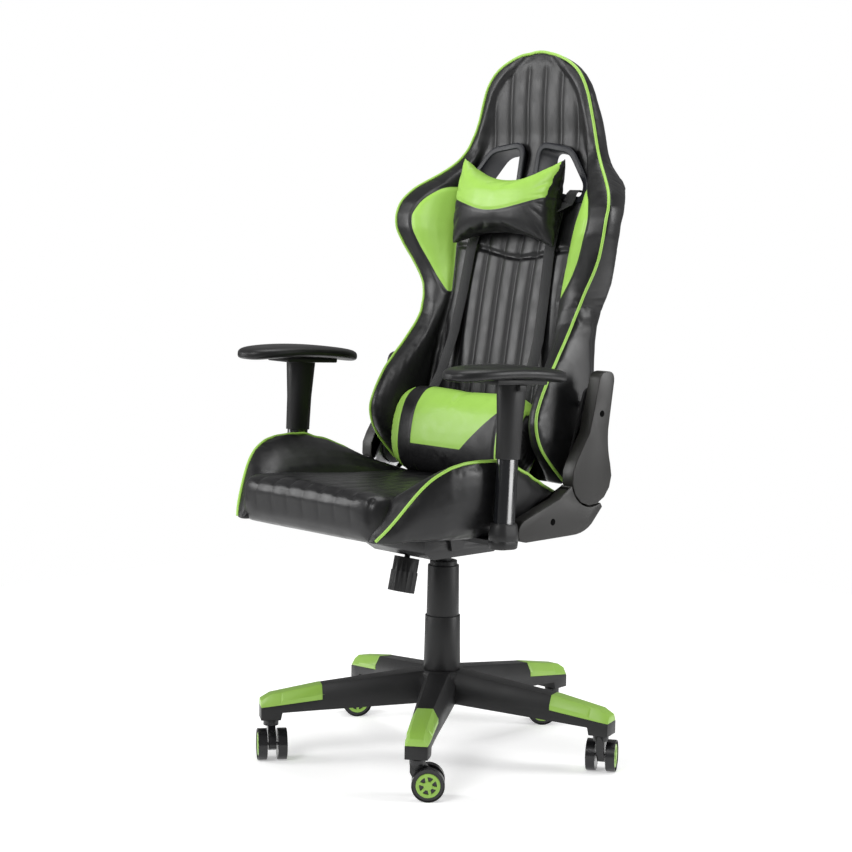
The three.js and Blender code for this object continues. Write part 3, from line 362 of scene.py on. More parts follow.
def makeMouldGrain():  # spark-eroded texture of moulded plastic
    group, inlet, outlet = groupNamed(
        "mouldGrain",
        (("Place", "NodeSocketVector", None), ("Grain Scale", "NodeSocketFloat", 1600)),
        (("Height", "NodeSocketFloat"), ("Tone", "NodeSocketFloat"), ("Shine", "NodeSocketFloat")))
    link = group.links.new
    grain = addNode(group, "ShaderNodeTexNoise")
    grain.inputs["Detail"].default_value = 3
    grain.inputs["Roughness"].default_value = 0.7
    link(inlet.outputs["Place"], grain.inputs["Vector"])
    link(inlet.outputs["Grain Scale"], grain.inputs["Scale"])
    cloud = addNode(group, "ShaderNodeTexNoise")
    cloud.inputs["Scale"].default_value = 18
    cloud.inputs["Detail"].default_value = 5
    link(inlet.outputs["Place"], cloud.inputs["Vector"])
    link(grain.outputs["Fac"], outlet.inputs["Height"])
    link(cloud.outputs["Fac"], outlet.inputs["Tone"])
    shine = addNode(group, "ShaderNodeMapRange")
    shine.inputs["From Min"].default_value = 0.3
    shine.inputs["From Max"].default_value = 0.7
    shine.inputs["To Min"].default_value = -0.06
    shine.inputs["To Max"].default_value = 0.08
    link(cloud.outputs["Fac"], shine.inputs["Value"])
    link(shine.outputs[0], outlet.inputs["Shine"])
    return group


grainGroups = {"hide": makeHideGrain(), "mould": makeMouldGrain()}


def surface(name, settings):  # one finish: colours, grain, gloss and how strong the bump is
    material = bpy.data.materials.new(name)
    material.use_nodes = True
    tree = material.node_tree
    link = tree.links.new
    shader = tree.nodes["Principled BSDF"]
    shader.inputs["Metallic"].default_value = settings.get("metallic", 0)
    shader.inputs["Specular IOR Level"].default_value = settings.get("specular", 0.5)
    shader.inputs["Coat Weight"].default_value = settings.get("coat", 0)
    shader.inputs["Coat Roughness"].default_value = settings.get("coatRoughness", 0.2)
    shader.inputs["Sheen Weight"].default_value = settings.get("sheen", 0)
    place = addNode(tree, "ShaderNodeTexCoord")
    group = addNode(tree, "ShaderNodeGroup", node_tree=grainGroups[settings["grain"]])
    link(place.outputs["Object"], group.inputs["Place"])
    for label, value in settings.get("grainValues", {}).items():
        group.inputs[label].default_value = value
    colour = addNode(tree, "ShaderNodeMix", data_type="RGBA")
    colour.inputs["A"].default_value = (*settings["dark"], 1)
    colour.inputs["B"].default_value = (*settings["light"], 1)
    link(group.outputs["Tone"], colour.inputs["Factor"])
    result = colour.outputs["Result"]
    if "second" in settings:
        mark = addNode(tree, "ShaderNodeAttribute", attribute_name="tint")
        edge = addNode(tree, "ShaderNodeMapRange")
        edge.inputs["From Min"].default_value = 0.475
        edge.inputs["From Max"].default_value = 0.525
        link(mark.outputs["Fac"], edge.inputs["Value"])
        second = addNode(tree, "ShaderNodeMix", data_type="RGBA")
        second.inputs["A"].default_value = (*settings["second"][0], 1)
        second.inputs["B"].default_value = (*settings["second"][1], 1)
        link(group.outputs["Tone"], second.inputs["Factor"])
        both = addNode(tree, "ShaderNodeMix", data_type="RGBA")
        link(edge.outputs[0], both.inputs["Factor"])
        link(result, both.inputs["A"])
        link(second.outputs["Result"], both.inputs["B"])
        result = both.outputs["Result"]
    link(result, shader.inputs["Base Color"])
    gloss = addNode(tree, "ShaderNodeMath", operation="ADD")
    gloss.inputs[0].default_value = settings["roughness"]
    link(group.outputs["Shine"], gloss.inputs[1])
    link(gloss.outputs[0], shader.inputs["Roughness"])
    bump = addNode(tree, "ShaderNodeBump")
    bump.inputs["Strength"].default_value = settings["bump"]
    bump.inputs["Distance"].default_value = settings.get("bumpDepth", 0.0006)
    height = group.outputs["Height"]
    if "weave" in settings:
        for direction in ("X", "Z"):
            rib = addNode(tree, "ShaderNodeTexWave", bands_direction=direction)
            rib.inputs["Scale"].default_value = settings["weave"]
            link(place.outputs["Object"], rib.inputs["Vector"])
            plus = addNode(tree, "ShaderNodeMath", operation="ADD")
            link(height, plus.inputs[0])
            link(rib.outputs["Fac"], plus.inputs[1])
            height = plus.outputs[0]
    link(height, bump.inputs["Height"])
    link(bump.outputs["Normal"], shader.inputs["Normal"])
    return material


blackTones = {"dark": (0.005, 0.005, 0.0055), "light": (0.009, 0.009, 0.0098)}
greenTones = ((0.32, 0.58, 0.085), (0.37, 0.65, 0.105))
leatherLook = {**blackTones, "roughness": 0.36, "bump": 0.32, "grain": "hide", "specular": 0.42,
               "grainValues": {"Pore Scale": 1100, "Crease Scale": 12, "Crease Share": 0.5}}
blackLeather = surface("blackLeather", leatherLook)
twoTone = surface("twoToneLeather", {**leatherLook, "second": greenTones, "roughness": 0.38})
pipingVinyl = surface("pipingVinyl", {"dark": greenTones[0], "light": greenTones[1],
                      "roughness": 0.4, "bump": 0.15, "grain": "hide",
                      "grainValues": {"Crease Share": 0.1}})
webbing = surface("strapWebbing", {"dark": (0.012, 0.012, 0.013), "light": (0.02, 0.02, 0.022),
                  "roughness": 0.75, "bump": 0.5, "grain": "mould", "weave": 260,
                  "sheen": 0.15, "grainValues": {"Grain Scale": 900}})
blackNylon = surface("blackNylon", {"dark": (0.009, 0.009, 0.0095), "light": (0.014, 0.014, 0.0145),
                     "roughness": 0.46, "bump": 0.22, "grain": "mould", "specular": 0.36})
coverPlastic = surface("coverPlastic", {"dark": (0.014, 0.0135, 0.0125), "light": (0.021, 0.02, 0.0185),
                       "roughness": 0.42, "bump": 0.2, "grain": "mould", "specular": 0.42})
glossBlack = surface("glossBlack", {"dark": (0.006, 0.0065, 0.008), "light": (0.009, 0.0095, 0.011),
                     "roughness": 0.16, "bump": 0.02, "grain": "mould", "coat": 0.3,
                     "coatRoughness": 0.08, "grainValues": {"Grain Scale": 500}})
bezelPlastic = surface("bezelPlastic", {"dark": (0.011, 0.012, 0.016), "light": (0.017, 0.018, 0.023),
                       "roughness": 0.4, "bump": 0.08, "grain": "mould", "specular": 0.3})
casterNylon = surface("casterNylon", {"dark": (0.006, 0.006, 0.007), "light": (0.01, 0.01, 0.0115),
                      "roughness": 0.24, "bump": 0.05, "grain": "mould"})
greenPlastic = surface("greenPlastic", {"dark": (0.25, 0.45, 0.065), "light": (0.29, 0.5, 0.08),
                       "roughness": 0.38, "bump": 0.12, "grain": "mould"})
zincSteel = surface("zincSteel", {"dark": (0.4, 0.4, 0.41), "light": (0.5, 0.5, 0.5), "metallic": 1,
                    "roughness": 0.34, "bump": 0.06, "grain": "mould"})
powderCoat = surface("powderCoat", {"dark": (0.011, 0.011, 0.012), "light": (0.018, 0.018, 0.019),
                     "roughness": 0.4, "bump": 0.25, "grain": "mould",
                     "grainValues": {"Grain Scale": 700}})
moulded = surface("mouldedFoam", {"dark": (0.007, 0.007, 0.0075), "light": (0.011, 0.011, 0.0115),
                  "roughness": 0.4, "bump": 0.2, "grain": "hide", "specular": 0.38,
                  "grainValues": {"Pore Scale": 1500, "Crease Share": 0.05}})
# painted shade: a near-black, almost unreflecting finish that stands in for the shade inside the screw holes
holeShadeBlack = surface("holeShadeBlack", {"dark": (0.001, 0.001, 0.001), "light": (0.002, 0.002, 0.002),
                      "roughness": 0.8, "bump": 0, "grain": "mould", "specular": 0.05})
print("materials ready")

# backrest
backSettings = {
    "wingHalf": [[-22, 214], [34, 212], [92, 207], [146, 203], [202, 195], [257, 191], [310, 203],
                 [358, 234], [405, 258], [430, 261], [456, 258], [484, 240], [513, 206],
                 [541, 177], [568, 159], [618, 141], [668, 125], [690, 113], [706, 98],
                 [718, 80], [728, 58], [735, 36], [739, 14]],
    "wingFront": [[-22, -4], [0, -38], [34, -79], [71, -95], [92, -95], [146, -77], [202, -46],
                  [257, -21], [310, -13], [358, -27], [405, -49], [430, -52], [456, -47],
                  [484, -33], [513, -9], [541, 7], [568, 13], [618, 11], [668, 2], [739, -5]],
    "sideDepth": [[-22, 60], [0, 100], [34, 150], [92, 170], [146, 150], [202, 116], [257, 90],
                  [310, 78], [358, 60], [430, 52], [484, 58], [513, 66], [568, 50], [620, 40],
                  [680, 30], [739, 22]],
    "panelHalf": [[-22, 150], [122, 154], [197, 146], [298, 134], [400, 143], [490, 152],
                  [540, 132], [618, 112], [668, 96], [738, 24]],
    "panelFront": [[-22, 12], [20, 4], [200, 0], [380, 2], [500, 20], [570, 25], [640, 12],
                   [738, 0]],
    "rear": [[-22, 28], [0, 47], [34, 59], [480, 57], [600, 55], [680, 46], [739, 24]],
    "stuffing": {"voxel": 5, "pressure": 3, "stiffness": 14, "frames": 14, "cap": 2.4},
    "lowPitch": 39, "highPitch": 41, "grooveDepth": 4, "headGroove": 2.6,
    "seamLine": [[-140, 385], [-79, 381], [12, 367], [83, 375], [140, 386]],
    "teardrop": [(147, 494), (175, 489), (205, 462), (219, 430), (214, 405), (196, 370),
                 (165, 325), (136, 292), (139, 340), (146, 400), (151, 450)],
    "opening": [(26, 494), (136, 479), (139, 500), (94, 556), (26, 566)],
}


def frontAt(x, z):  # the back's front face
    panel = between(backSettings["panelHalf"], z)
    wing = between(backSettings["wingHalf"], z)
    y = between(backSettings["panelFront"], z)
    side = abs(x)
    if side <= panel:
        return y
    t = min((side - panel) / max(wing - panel, 1), 1)
    crest = between(backSettings["wingFront"], z)
    lean = 1 - (1 - t) ** 3
    swell = 4 * math.sin(math.pi * t) * smoothStep(10, 60, wing - panel)
    return y + (crest - y) * lean - swell


def backRing(z):
    wing = between(backSettings["wingHalf"], z)
    panel = min(between(backSettings["panelHalf"], z), wing - 4)
    rear = between(backSettings["rear"], z)
    crest = frontAt(wing, z)
    half = [(panel * i / 12, frontAt(panel * i / 12, z)) for i in range(13)]
    half += [(panel + (wing - panel) * i / 9, frontAt(panel + (wing - panel) * i / 9, z))
             for i in range(1, 10)]
    edgeRear = min(rear, crest + between(backSettings["sideDepth"], z))
    soft = min(22, (edgeRear - crest) * 0.45, wing * 0.5)
    for i in range(1, 7):
        t = i / 7
        half.append((wing + 2 * math.sin(math.pi * t), crest + t * (edgeRear - soft - crest)))
    for i in range(5):
        turn = math.radians(90 * i / 4)
        half.append((wing - soft * (1 - math.cos(turn)), edgeRear - soft * (1 - math.sin(turn))))
    turnIn = min(wing - soft, 0.7 * wing)
    for i in range(1, 6):
        t = i / 5
        half.append((wing - soft + (turnIn - wing + soft) * t,
                     edgeRear + (rear - edgeRear) * smoothStep(0, 1, t)))
    half += [(turnIn * (1 - i / 5), rear) for i in range(1, 6)]
    other = [(-x, y) for x, y in half[-2:0:-1]]
    return [backPlace(x, y, z) for x, y in half + other]


def roundedLoop(corners, radius, steps=5):  # a closed outline with its corners eased
    loop = []
    count = len(corners)
    for i in range(count):
        here = Vector(corners[i])
        toLast = (Vector(corners[i - 1]) - here)
        toNext = (Vector(corners[(i + 1) % count]) - here)
        reach = min(radius, toLast.length * 0.4, toNext.length * 0.4)
        start = here + toLast.normalized() * reach
        end = here + toNext.normalized() * reach
        for k in range(steps + 1):
            t = k / steps
            loop.append((1 - t) ** 2 * start + 2 * t * (1 - t) * here + t * t * end)
    return loop


def offsetLoop(loop, distance):  # an eased outline moved out by a distance
    moved = []
    count = len(loop)
    for i in range(count):
        along = (loop[(i + 1) % count] - loop[i - 1]).normalized()
        moved.append(loop[i] + Vector((along.y, -along.x)) * distance)
    return moved


def makeBack():
    stations = [-22, -14, 0, 16, 34, 52, 71, 92, 118, 146, 174, 202, 230, 257, 284, 310, 334, 358,
                382, 405, 430, 456, 484, 500, 513, 527, 541, 555, 568, 592, 618, 642, 668, 684,
                700, 711, 720, 727, 732, 736, 739]
    piece = loftPiece("back_upholstery", [backRing(z) for z in stations])
    for name, way in sideNames:
        corners = [(way * x, z) for x, z in backSettings["opening"]]
        if way < 0:
            corners = corners[::-1]
        loop = offsetLoop(roundedLoop(corners, 16), 4.5)
        cutter = loftPiece("cutter", [[backPlace(p.x, y, p.y) for p in loop] for y in (-60, 120)])
        applyModifier(piece, "BOOLEAN", "opening", object=cutter, operation="DIFFERENCE",
                      solver="EXACT")
        bpy.data.objects.remove(cutter)
    stuffPiece(piece, backSettings["stuffing"])

    tearLoop = [tuple(p) for p in roundedLoop(backSettings["teardrop"], 14, 4)]

    def carving(point, normal):
        x, y, z = backLocal(point)
        panel = between(backSettings["panelHalf"], z)
        front = frontAt(x, z)
        if y > front + 26 or z > 735:
            return 0
        side = abs(x)
        facing = smoothStep(0.1, 0.5, -normal.y)
        seam = between(backSettings["seamLine"], x)
        inPanel = smoothStep(panel + 4, panel - 4, side)
        high = smoothStep(-3, 3, z - seam)
        depth = 0
        for pitch, share in ((backSettings["lowPitch"], 1 - high), (backSettings["highPitch"], high)):
            place = max(side / pitch - 0.5, -0.5)
            closeness = 1 - 2 * abs(place - round(max(place, 0)))
            fade = 1 - smoothStep(700, 722, z)
            limit = 1 if z < 560 else smoothStep(panel * 1.02, panel * 0.9, side)
            sink = backSettings["grooveDepth" if z < 560 else "headGroove"]
            depth += sink * max(closeness, 0) ** 3 * share * fade * limit
        depth += 3.6 * math.exp(-((z - seam) / 4.5) ** 2)
        depth *= inPanel
        edge = math.exp(-((side - panel) / 4.5) ** 2) * 5.5 * (1 - smoothStep(520, 575, z))
        rim = distanceToLoop(side, z, tearLoop)
        tear = math.exp(-(rim / 4) ** 2) * 2 if side > panel + 3 else 0
        return max(depth, edge, tear) * facing

    def creasing(point, normal):
        x, y, z = backLocal(point)
        wing = between(backSettings["wingHalf"], z)
        side = abs(x)
        if side < wing * 0.72:
            return 0
        share = smoothStep(wing * 0.76, wing * 0.95, side)
        depth = 0
        for at, spread, pitch, tilt in ((285, 30, 13, 0.25), (520, 34, 15, -0.35)):
            bell = math.exp(-((z - at) / spread) ** 2)
            phase = (z - tilt * y - 0.12 * side) * 2 * math.pi / pitch
            wander = math.sin(phase * 0.37 + y * 0.11) * 0.5 + 0.5
            depth += 0.7 * bell * wander * (0.5 + 0.5 * math.sin(phase)) ** 3
        return depth * share

    carvePiece(piece, carving)
    carvePiece(piece, creasing)

    def greenInset(point, normal):
        x, y, z = backLocal(point)
        if y > frontAt(x, z) + 20 or z < 250 or z > 520:
            return -10
        return distanceToLoop(abs(x), z, tearLoop)

    tintPiece(piece, greenInset)
    dress(piece, twoTone, "back", ("back_cushion", "back_cover"))
    return piece


def surfaceTree(piece):
    return BVHTree.FromObject(piece, bpy.context.evaluated_depsgraph_get())


def ontoSurface(tree, points, lift):  # lays a path on a surface, its middle lifted a little
    laid = []
    for point in points:
        place, normal, _, _ = tree.find_nearest(point)
        laid.append(place + normal * lift * mm)
    return laid


back = makeBack()
backTree = surfaceTree(back)
pipingSettings = {"radius": 2.6, "lift": 1.2}
edgeStations = [-16] + list(range(-6, 690, 12)) + [694, 704, 713, 720, 726, 731, 735]
edgePath = [backPlace(between(backSettings["wingHalf"], z), frontAt(between(backSettings["wingHalf"], z), z), z)
            for z in edgeStations]
crownPath = [backPlace(x, -5, 740.5 - 0.006 * x * x) for x in (24, 12, 0, -12, -24)]
otherPath = [Vector((2 * chairFrame["columnX"] - p.x, p.y, p.z)) for p in edgePath[::-1]]
backPiping = pipePiece("back_piping", ontoSurface(backTree, edgePath + crownPath + otherPath,
                                                  pipingSettings["lift"]), pipingSettings["radius"])
dress(backPiping, pipingVinyl, "back")
print("backrest ready", len(back.data.polygons))


# bezels round the head openings
def makeBezel(side, way):
    settings = {"front": 12, "rear": 60, "wall": 3.4, "lip": 12, "thick": 4}
    corners = [(way * x, z) for x, z in backSettings["opening"]]
    if way < 0:
        corners = corners[::-1]
    loop = roundedLoop(corners, 15, 7)
    outer = {d: offsetLoop(loop, d) for d in (0.0, 1.5, settings["wall"], settings["lip"] - 2,
                                              settings["lip"])}
    front, rear, thick = settings["front"], settings["rear"], settings["thick"]

    def section(i):
        spots = [(0.0, front + 1.5), (1.5, front), (settings["lip"] - 2, front),
                 (settings["lip"], front + 1.8), (settings["lip"], front + thick),
                 (settings["wall"], front + thick + 1.5), (settings["wall"], rear), (0.0, rear)]
        return [backPlace(outer[d][i].x, y, outer[d][i].y) for d, y in spots]

    piece = loopPiece(f"bezel_trim_{side}", loop, section)
    applyModifier(piece, "BEVEL", "eased", width=0.8 * mm, segments=2, limit_method="ANGLE",
                  angle_limit=math.radians(40))
    smoothShade(piece, 35)
    return dress(piece, bezelPlastic, "back", (f"head_bezel_{side}",))


for side, way in sideNames:
    makeBezel(side, way)

# seat
seatSettings = {
    "middle": {"half": [[-334, 170], [-300, 177], [-220, 178], [-150, 174], [-40, 166], [96, 156]],
               "top": [[-334, 70], [-250, 71], [-100, 68], [40, 72], [96, 76]],
               "bottom": [[-334, -14], [-296, -10], [-250, 2], [96, 2]],
               "stuffing": {"voxel": 5, "pressure": 2, "stiffness": 16, "frames": 12, "cap": 1.2},
               "pitch": 40, "grooveDepth": 1.8},
    "ridge": [[-330, 178, -9], [-318, 186, 8], [-306, 196, 27], [-290, 208, 55], [-272, 220, 84],
              [-250, 230, 107], [-225, 237, 121], [-195, 241, 130], [-160, 243, 133],
              [-120, 243, 131], [-80, 240, 123], [-40, 234, 109], [0, 227, 90], [40, 221, 74],
              [75, 218, 62], [100, 216, 54]],
    "bolster": {"voxel": 5, "pressure": 2.5, "stiffness": 14, "frames": 12, "cap": 2.4},
}


def makeSeatMiddle():
    shape = seatSettings["middle"]
    stations = [-334, -331, -326, -316, -300, -280, -250, -210, -170, -130, -90, -50, -10, 30, 60,
                80, 92, 98]
    rings = []
    for y in stations:
        half = between(shape["half"], y)
        top = between(shape["top"], y)
        low = between(shape["bottom"], y)
        drawIn = {-334: 20, -331: 12, -326: 6, -316: 2, 98: 8, 92: 3}.get(y, 0)
        half, top, low = half - drawIn, top - drawIn, low + drawIn
        corner = 27
        ring = []
        for i in range(13):
            t = -1 + i / 6
            ring.append((t * (half - corner), top + 3 * (1 - t * t)))
        for turn in (67, 45, 22, 0):
            turn = math.radians(turn)
            ring.append((half - corner + corner * math.cos(turn),
                         top - corner + corner * math.sin(turn)))
        ring += [(half + 1, low + 0.5 * (top - low)), (half, low + 14), (half - 8, low),
                 (half * 0.5, low), (0, low), (-half * 0.5, low), (-half + 8, low),
                 (-half, low + 14), (-half - 1, low + 0.5 * (top - low))]
        for turn in (0, 22, 45, 67):
            turn = math.radians(turn)
            ring.append((-half + corner - corner * math.cos(turn),
                         top - corner + corner * math.sin(turn)))
        rings.append([seatPlace(x, y + (70 - z) * 0.16 * (y < -310), z) for x, z in ring])
    piece = loftPiece("seat_middle", rings)
    stuffPiece(piece, shape["stuffing"])

    def carving(point, normal):
        x, y, z = seatLocal(point)
        if z < 8 or y > 60 and z < 40:
            return 0
        up = smoothStep(0.25, 0.7, normal.z)
        ahead = smoothStep(0.3, 0.7, -normal.y) * smoothStep(8, 40, z)
        place = abs(x) / shape["pitch"]
        closeness = 1 - 2 * abs(place - round(place)) if abs(x) < 140 else 0
        sink = shape["grooveDepth"] * closeness ** 3
        edge = 3.5 * math.exp(-((abs(x) - 159) / 4) ** 2)
        return max(sink, edge * ahead) * max(up, ahead * 0.55)

    carvePiece(piece, carving)
    dress(piece, blackLeather, "seat", ("seat_cushion",))
    return piece


def makeBolster(side, way):
    rings = []
    ridge = [[y, [x, z]] for y, x, z in seatSettings["ridge"]]
    halfLine = [[y, x] for y, (x, z) in ridge]
    topLine = [[y, z] for y, (x, z) in ridge]
    stations = [-328, -322, -314, -304, -290, -272, -250, -225, -195, -160, -120, -80, -40, 0, 40,
                75, 92, 99]
    for y in stations:
        wing = between(halfLine, y)
        top = between(topLine, y)
        inner = 150 if y > -300 else 150 + (-300 - y) * 0.3
        low = -8 if y < -300 else (1 if y > -270 else -8 + (y + 300) * 0.3)
        foot = min(wing - 6, 232)
        foot = foot if y > -290 else wing - 4
        rise = max(top - low, 6)
        inTop = min(58, top - 1)
        ring = [(inner, low), (inner, low + 0.5 * (inTop - low)), (inner + 3, inTop)]
        for i in range(1, 7):
            t = i / 6
            ring.append((inner + 3 + (wing - inner - 3) * t,
                         inTop + (top - inTop) * (t ** 0.8) + 5 * math.sin(math.pi * t)
                         * smoothStep(20, 80, rise)))
        for i in range(1, 7):
            t = i / 6
            ring.append((wing + (foot - wing) * t + 7 * math.sin(math.pi * t)
                         * smoothStep(30, 90, rise), top - (top - low - 6) * t))
        ring += [(foot - 10, low), ((foot + inner) / 2, low)]
        rings.append([seatPlace(way * x, y, z) for x, z in ring])
    piece = loftPiece(f"seat_bolster_{side}", rings)
    stuffPiece(piece, seatSettings["bolster"])

    dress(piece, blackLeather, "seat", ("seat_cushion",))
    tree = surfaceTree(piece)
    steps = [-327 + 12 * i for i in range(36)]
    path = [seatPlace(way * between(halfLine, y), y, between(topLine, y)) for y in steps]
    piping = pipePiece(f"seat_piping_{side}", ontoSurface(tree, path, pipingSettings["lift"]),
                       pipingSettings["radius"])
    dress(piping, pipingVinyl, "seat")
    return piece


seatMiddle = makeSeatMiddle()
for side, way in sideNames:
    makeBolster(side, way)
print("seat ready", len(seatMiddle.data.polygons))

# pillows
pillowSettings = {
    "head": {"half": 123, "low": 379, "high": 543, "front": -26, "thick": 66, "dip": 36, "lift": 20,
             "stuffing": {"voxel": 4.5, "pressure": 4, "stiffness": 8, "frames": 18, "cap": 7},
             "split": [[-140, 470], [-80, 453], [-21, 441], [40, 447], [130, 474]]},
    "lumbar": {"half": 165, "low": -38, "high": 122, "front": -54, "thick": 84,
               "stuffing": {"voxel": 4.5, "pressure": 4, "stiffness": 8, "frames": 16, "cap": 5}},
}


def makeHeadPillow():
    shape = pillowSettings["head"]
    middle = (shape["low"] + shape["high"]) / 2
    reach = (shape["high"] - shape["low"]) / 2
    rings = []
    count = 21
    for i in range(count):
        across = -1 + 2 * i / (count - 1)
        x = shape["half"] * across
        bow = across * across
        top = reach - shape["dip"] * (1 - bow)
        foot = reach - shape["lift"] * (1 - bow)
        fat = shape["thick"] / 2 * max(1 - abs(across) ** 3.6, 0.02) ** 0.5
        ring = []
        for k in range(24):
            turn = 2 * math.pi * k / 24
            up = math.copysign(abs(math.sin(turn)) ** 0.9, math.sin(turn))
            out = math.copysign(abs(math.cos(turn)) ** 0.9, math.cos(turn))
            z = middle + (top if up > 0 else foot) * up
            ring.append(backPlace(x * (1 + 0.05 * up * up), shape["front"] + fat * out, z))
        rings.append(ring)
    piece = loftPiece("head_pillow_cover", rings)
    stuffPiece(piece, shape["stuffing"])

    def carving(point, normal):
        x, y, z = backLocal(point)
        split = between(shape["split"], x)
        seam = 1.6 * math.exp(-((z - split) / 2.6) ** 2) if y < shape["front"] else 0
        rim = 0
        for at in (-0.85, 0.85):
            gather = math.exp(-((x / shape["half"] - at) / 0.16) ** 2)
            fan = math.atan2(z - middle, abs(x) - 60)
            rim += 1.3 * gather * (0.5 + 0.5 * math.sin(fan * 17 + x * 0.04)) ** 3
        tuck = 1.0 * math.exp(-((x - 4) / 9) ** 2) * math.exp(-((z - split + 22) / 15) ** 2)
        return max(seam, rim, tuck)

    carvePiece(piece, carving)

    def greenTop(point, normal):
        x, y, z = backLocal(point)
        if x > shape["half"] - 3 or normal.x > 0.8:
            return -10
        if y > shape["front"] + 8:
            return -10
        return z - between(shape["split"], x)

    tintPiece(piece, greenTop)
    dress(piece, twoTone, "head_pillow", ("head_pillow",))
    return piece


def makeLumbarPillow():
    shape = pillowSettings["lumbar"]
    middle = (shape["low"] + shape["high"]) / 2
    reach = (shape["high"] - shape["low"]) / 2
    rings = []
    stations = [-1, -0.985, -0.95, -0.88, -0.75, -0.55, -0.3, 0, 0.3, 0.55, 0.75, 0.88, 0.95,
                0.985, 1]
    for across in stations:
        x = shape["half"] * across
        draw = max(1 - abs(across) ** 9, 0.0) ** 0.4 if abs(across) < 1 else 0.32
        draw = max(draw, 0.5)
        ring = []
        for k in range(32):
            turn = 2 * math.pi * k / 32
            up = math.copysign(abs(math.sin(turn)) ** 0.85, math.sin(turn))
            out = math.copysign(abs(math.cos(turn)) ** 0.85, math.cos(turn))
            ring.append(backPlace(x, shape["front"] + shape["thick"] / 2 * draw * out,
                                  middle + reach * draw * up))
        rings.append(ring)
    piece = loftPiece("lumbar_pillow_cover", rings)
    stuffPiece(piece, shape["stuffing"])
    bandEdges = (-125, -88, 118, 158)

    def carving(point, normal):
        x, y, z = backLocal(point)
        depth = 0
        for edge in bandEdges:
            depth = max(depth, 1.2 * math.exp(-((x - edge) / 2.2) ** 2))
        ends = smoothStep(0.86, 1, abs(x) / shape["half"])
        turn = math.atan2(z - middle, y - shape["front"])
        depth += 1.2 * ends * (0.5 + 0.5 * math.sin(turn * 19)) ** 2
        return depth

    carvePiece(piece, carving)

    def blackBands(point, normal):
        x, y, z = backLocal(point)
        if y > shape["front"] + 26:
            return -10
        if -125 < x < -88:
            return -min(x + 125, -88 - x)
        bottom = 14 + max(0, min(x - 40, 78)) * 1.0
        if -88 < x < 118:
            return min(z - bottom, x + 88) if z > bottom else z - bottom
        return min(x - 118, 156 - x, 10) if x > 0 else min(-125 - x, 10)

    tintPiece(piece, blackBands)
    dress(piece, twoTone, "lumbar_pillow", ("lumbar_pillow",))
    return piece


makeHeadPillow()
makeLumbarPillow()
print("pillows ready")


# straps
def makeStrap(name, way, body, route):
    settings = {"wide": 25, "thick": 1.4,
                "lumbarPath": [(111, -40, 112), (110, -24, 148), (106, -10, 220), (101, -6, 300),
                         (97, -5, 380), (94, 4, 430), (94, 8, 450)],
                "headPath": [(100, -18, 446), (110, -4, 458), (116, 4, 466), (119, 6, 475),
                             (120, 7, 484), (119, 15, 491), (118, 44, 493)]}
    rings = []
    path = [Vector((way * x, y, z)) for x, y, z in settings[route]]
    fine = []
    for i in range(len(path) - 1):
        fine += [path[i].lerp(path[i + 1], t / 6) for t in range(6)]
    fine.append(path[-1])
    for i, spot in enumerate(fine):
        along = (fine[min(i + 1, len(fine) - 1)] - fine[max(i - 1, 0)]).normalized()
        across = Vector((1, 0, 0)) - along * along.x
        across.normalize()
        out = along.cross(across)
        half, thin = settings["wide"] / 2, settings["thick"] / 2
        ring = [spot + across * a * half + out * b * thin
                for a, b in ((-1, 0), (-0.94, 1), (0.94, 1), (1, 0), (0.94, -1), (-0.94, -1))]
        rings.append([backPlace(*p) for p in ring])
    piece = loftPiece(name, rings)
    smoothShade(piece, 50)
    return dress(piece, webbing, body)


for side, way in sideNames:
    makeStrap(f"strap_{side}", way, "back", "lumbarPath")
    makeStrap(f"head_strap_{side}", way, "head_pillow", "headPath")


# armrests
def makeArmPad(side, way):
    low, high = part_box(f"arm_pad_{side}")
    settings = {"long": 256, "wide": 98, "thick": 23, "droop": 9}
    middle = (low + high) / 2
    tilt = math.radians(chairFrame["seatTilt"])
    count = 33
    rings = []
    for i in range(count):
        along = -math.cos(math.pi * i / (count - 1))
        reach = settings["wide"] / 2 * max(1 - abs(along) ** 3.6, 0.0) ** 0.45
        reach = max(reach, 3)
        thin = settings["thick"] / 2 * max(1 - abs(along) ** 14, 0.12) ** 0.5
        ring = []
        for k in range(28):
            turn = 2 * math.pi * k / 28
            out = math.copysign(abs(math.cos(turn)) ** 0.55, math.cos(turn))
            up = math.copysign(abs(math.sin(turn)) ** 0.75, math.sin(turn))
            if up < 0:
                up *= 0.95
            x = out * reach
            y = along * settings["long"] / 2
            z = up * thin - settings["droop"] * along * along
            ring.append(Vector((middle.x + x * mm,
                                middle.y + (y * math.cos(tilt) + z * math.sin(tilt)) * mm,
                                high.z - 0.0195 + (z * math.cos(tilt) - y * math.sin(tilt)) * mm)))
        rings.append(ring)
    piece = loftPiece(f"arm_pad_skin_{side}", rings)
    applyModifier(piece, "SUBSURF", "fine", levels=1, render_levels=1)
    pickOnly(piece)
    bpy.ops.object.shade_smooth()
    dress(piece, moulded, f"arm_{side}", (f"arm_pad_{side}",))
    foot = {"wide": 58, "long": 116, "thick": 9}
    bpy.ops.object.select_all(action="DESELECT")
    bpy.ops.mesh.primitive_cube_add(size=1, location=(0, 0, 0))
    plate = bpy.context.active_object
    plate.name = f"arm_pad_plate_{side}"
    plate.scale = (foot["wide"] * mm, foot["long"] * mm, foot["thick"] * mm)
    bpy.ops.object.transform_apply(location=False, rotation=False, scale=True)
    applyModifier(plate, "BEVEL", "corners", width=2.5 * mm, segments=2)
    plate.rotation_euler.x = -tilt
    plate.location = (middle.x, middle.y + 0.01, high.z - 0.0352)
    pickOnly(plate)
    bpy.ops.object.transform_apply(location=True, rotation=True, scale=True)
    smoothShade(plate, 35)
    dress(plate, blackNylon, f"arm_{side}", (f"arm_pad_{side}",))


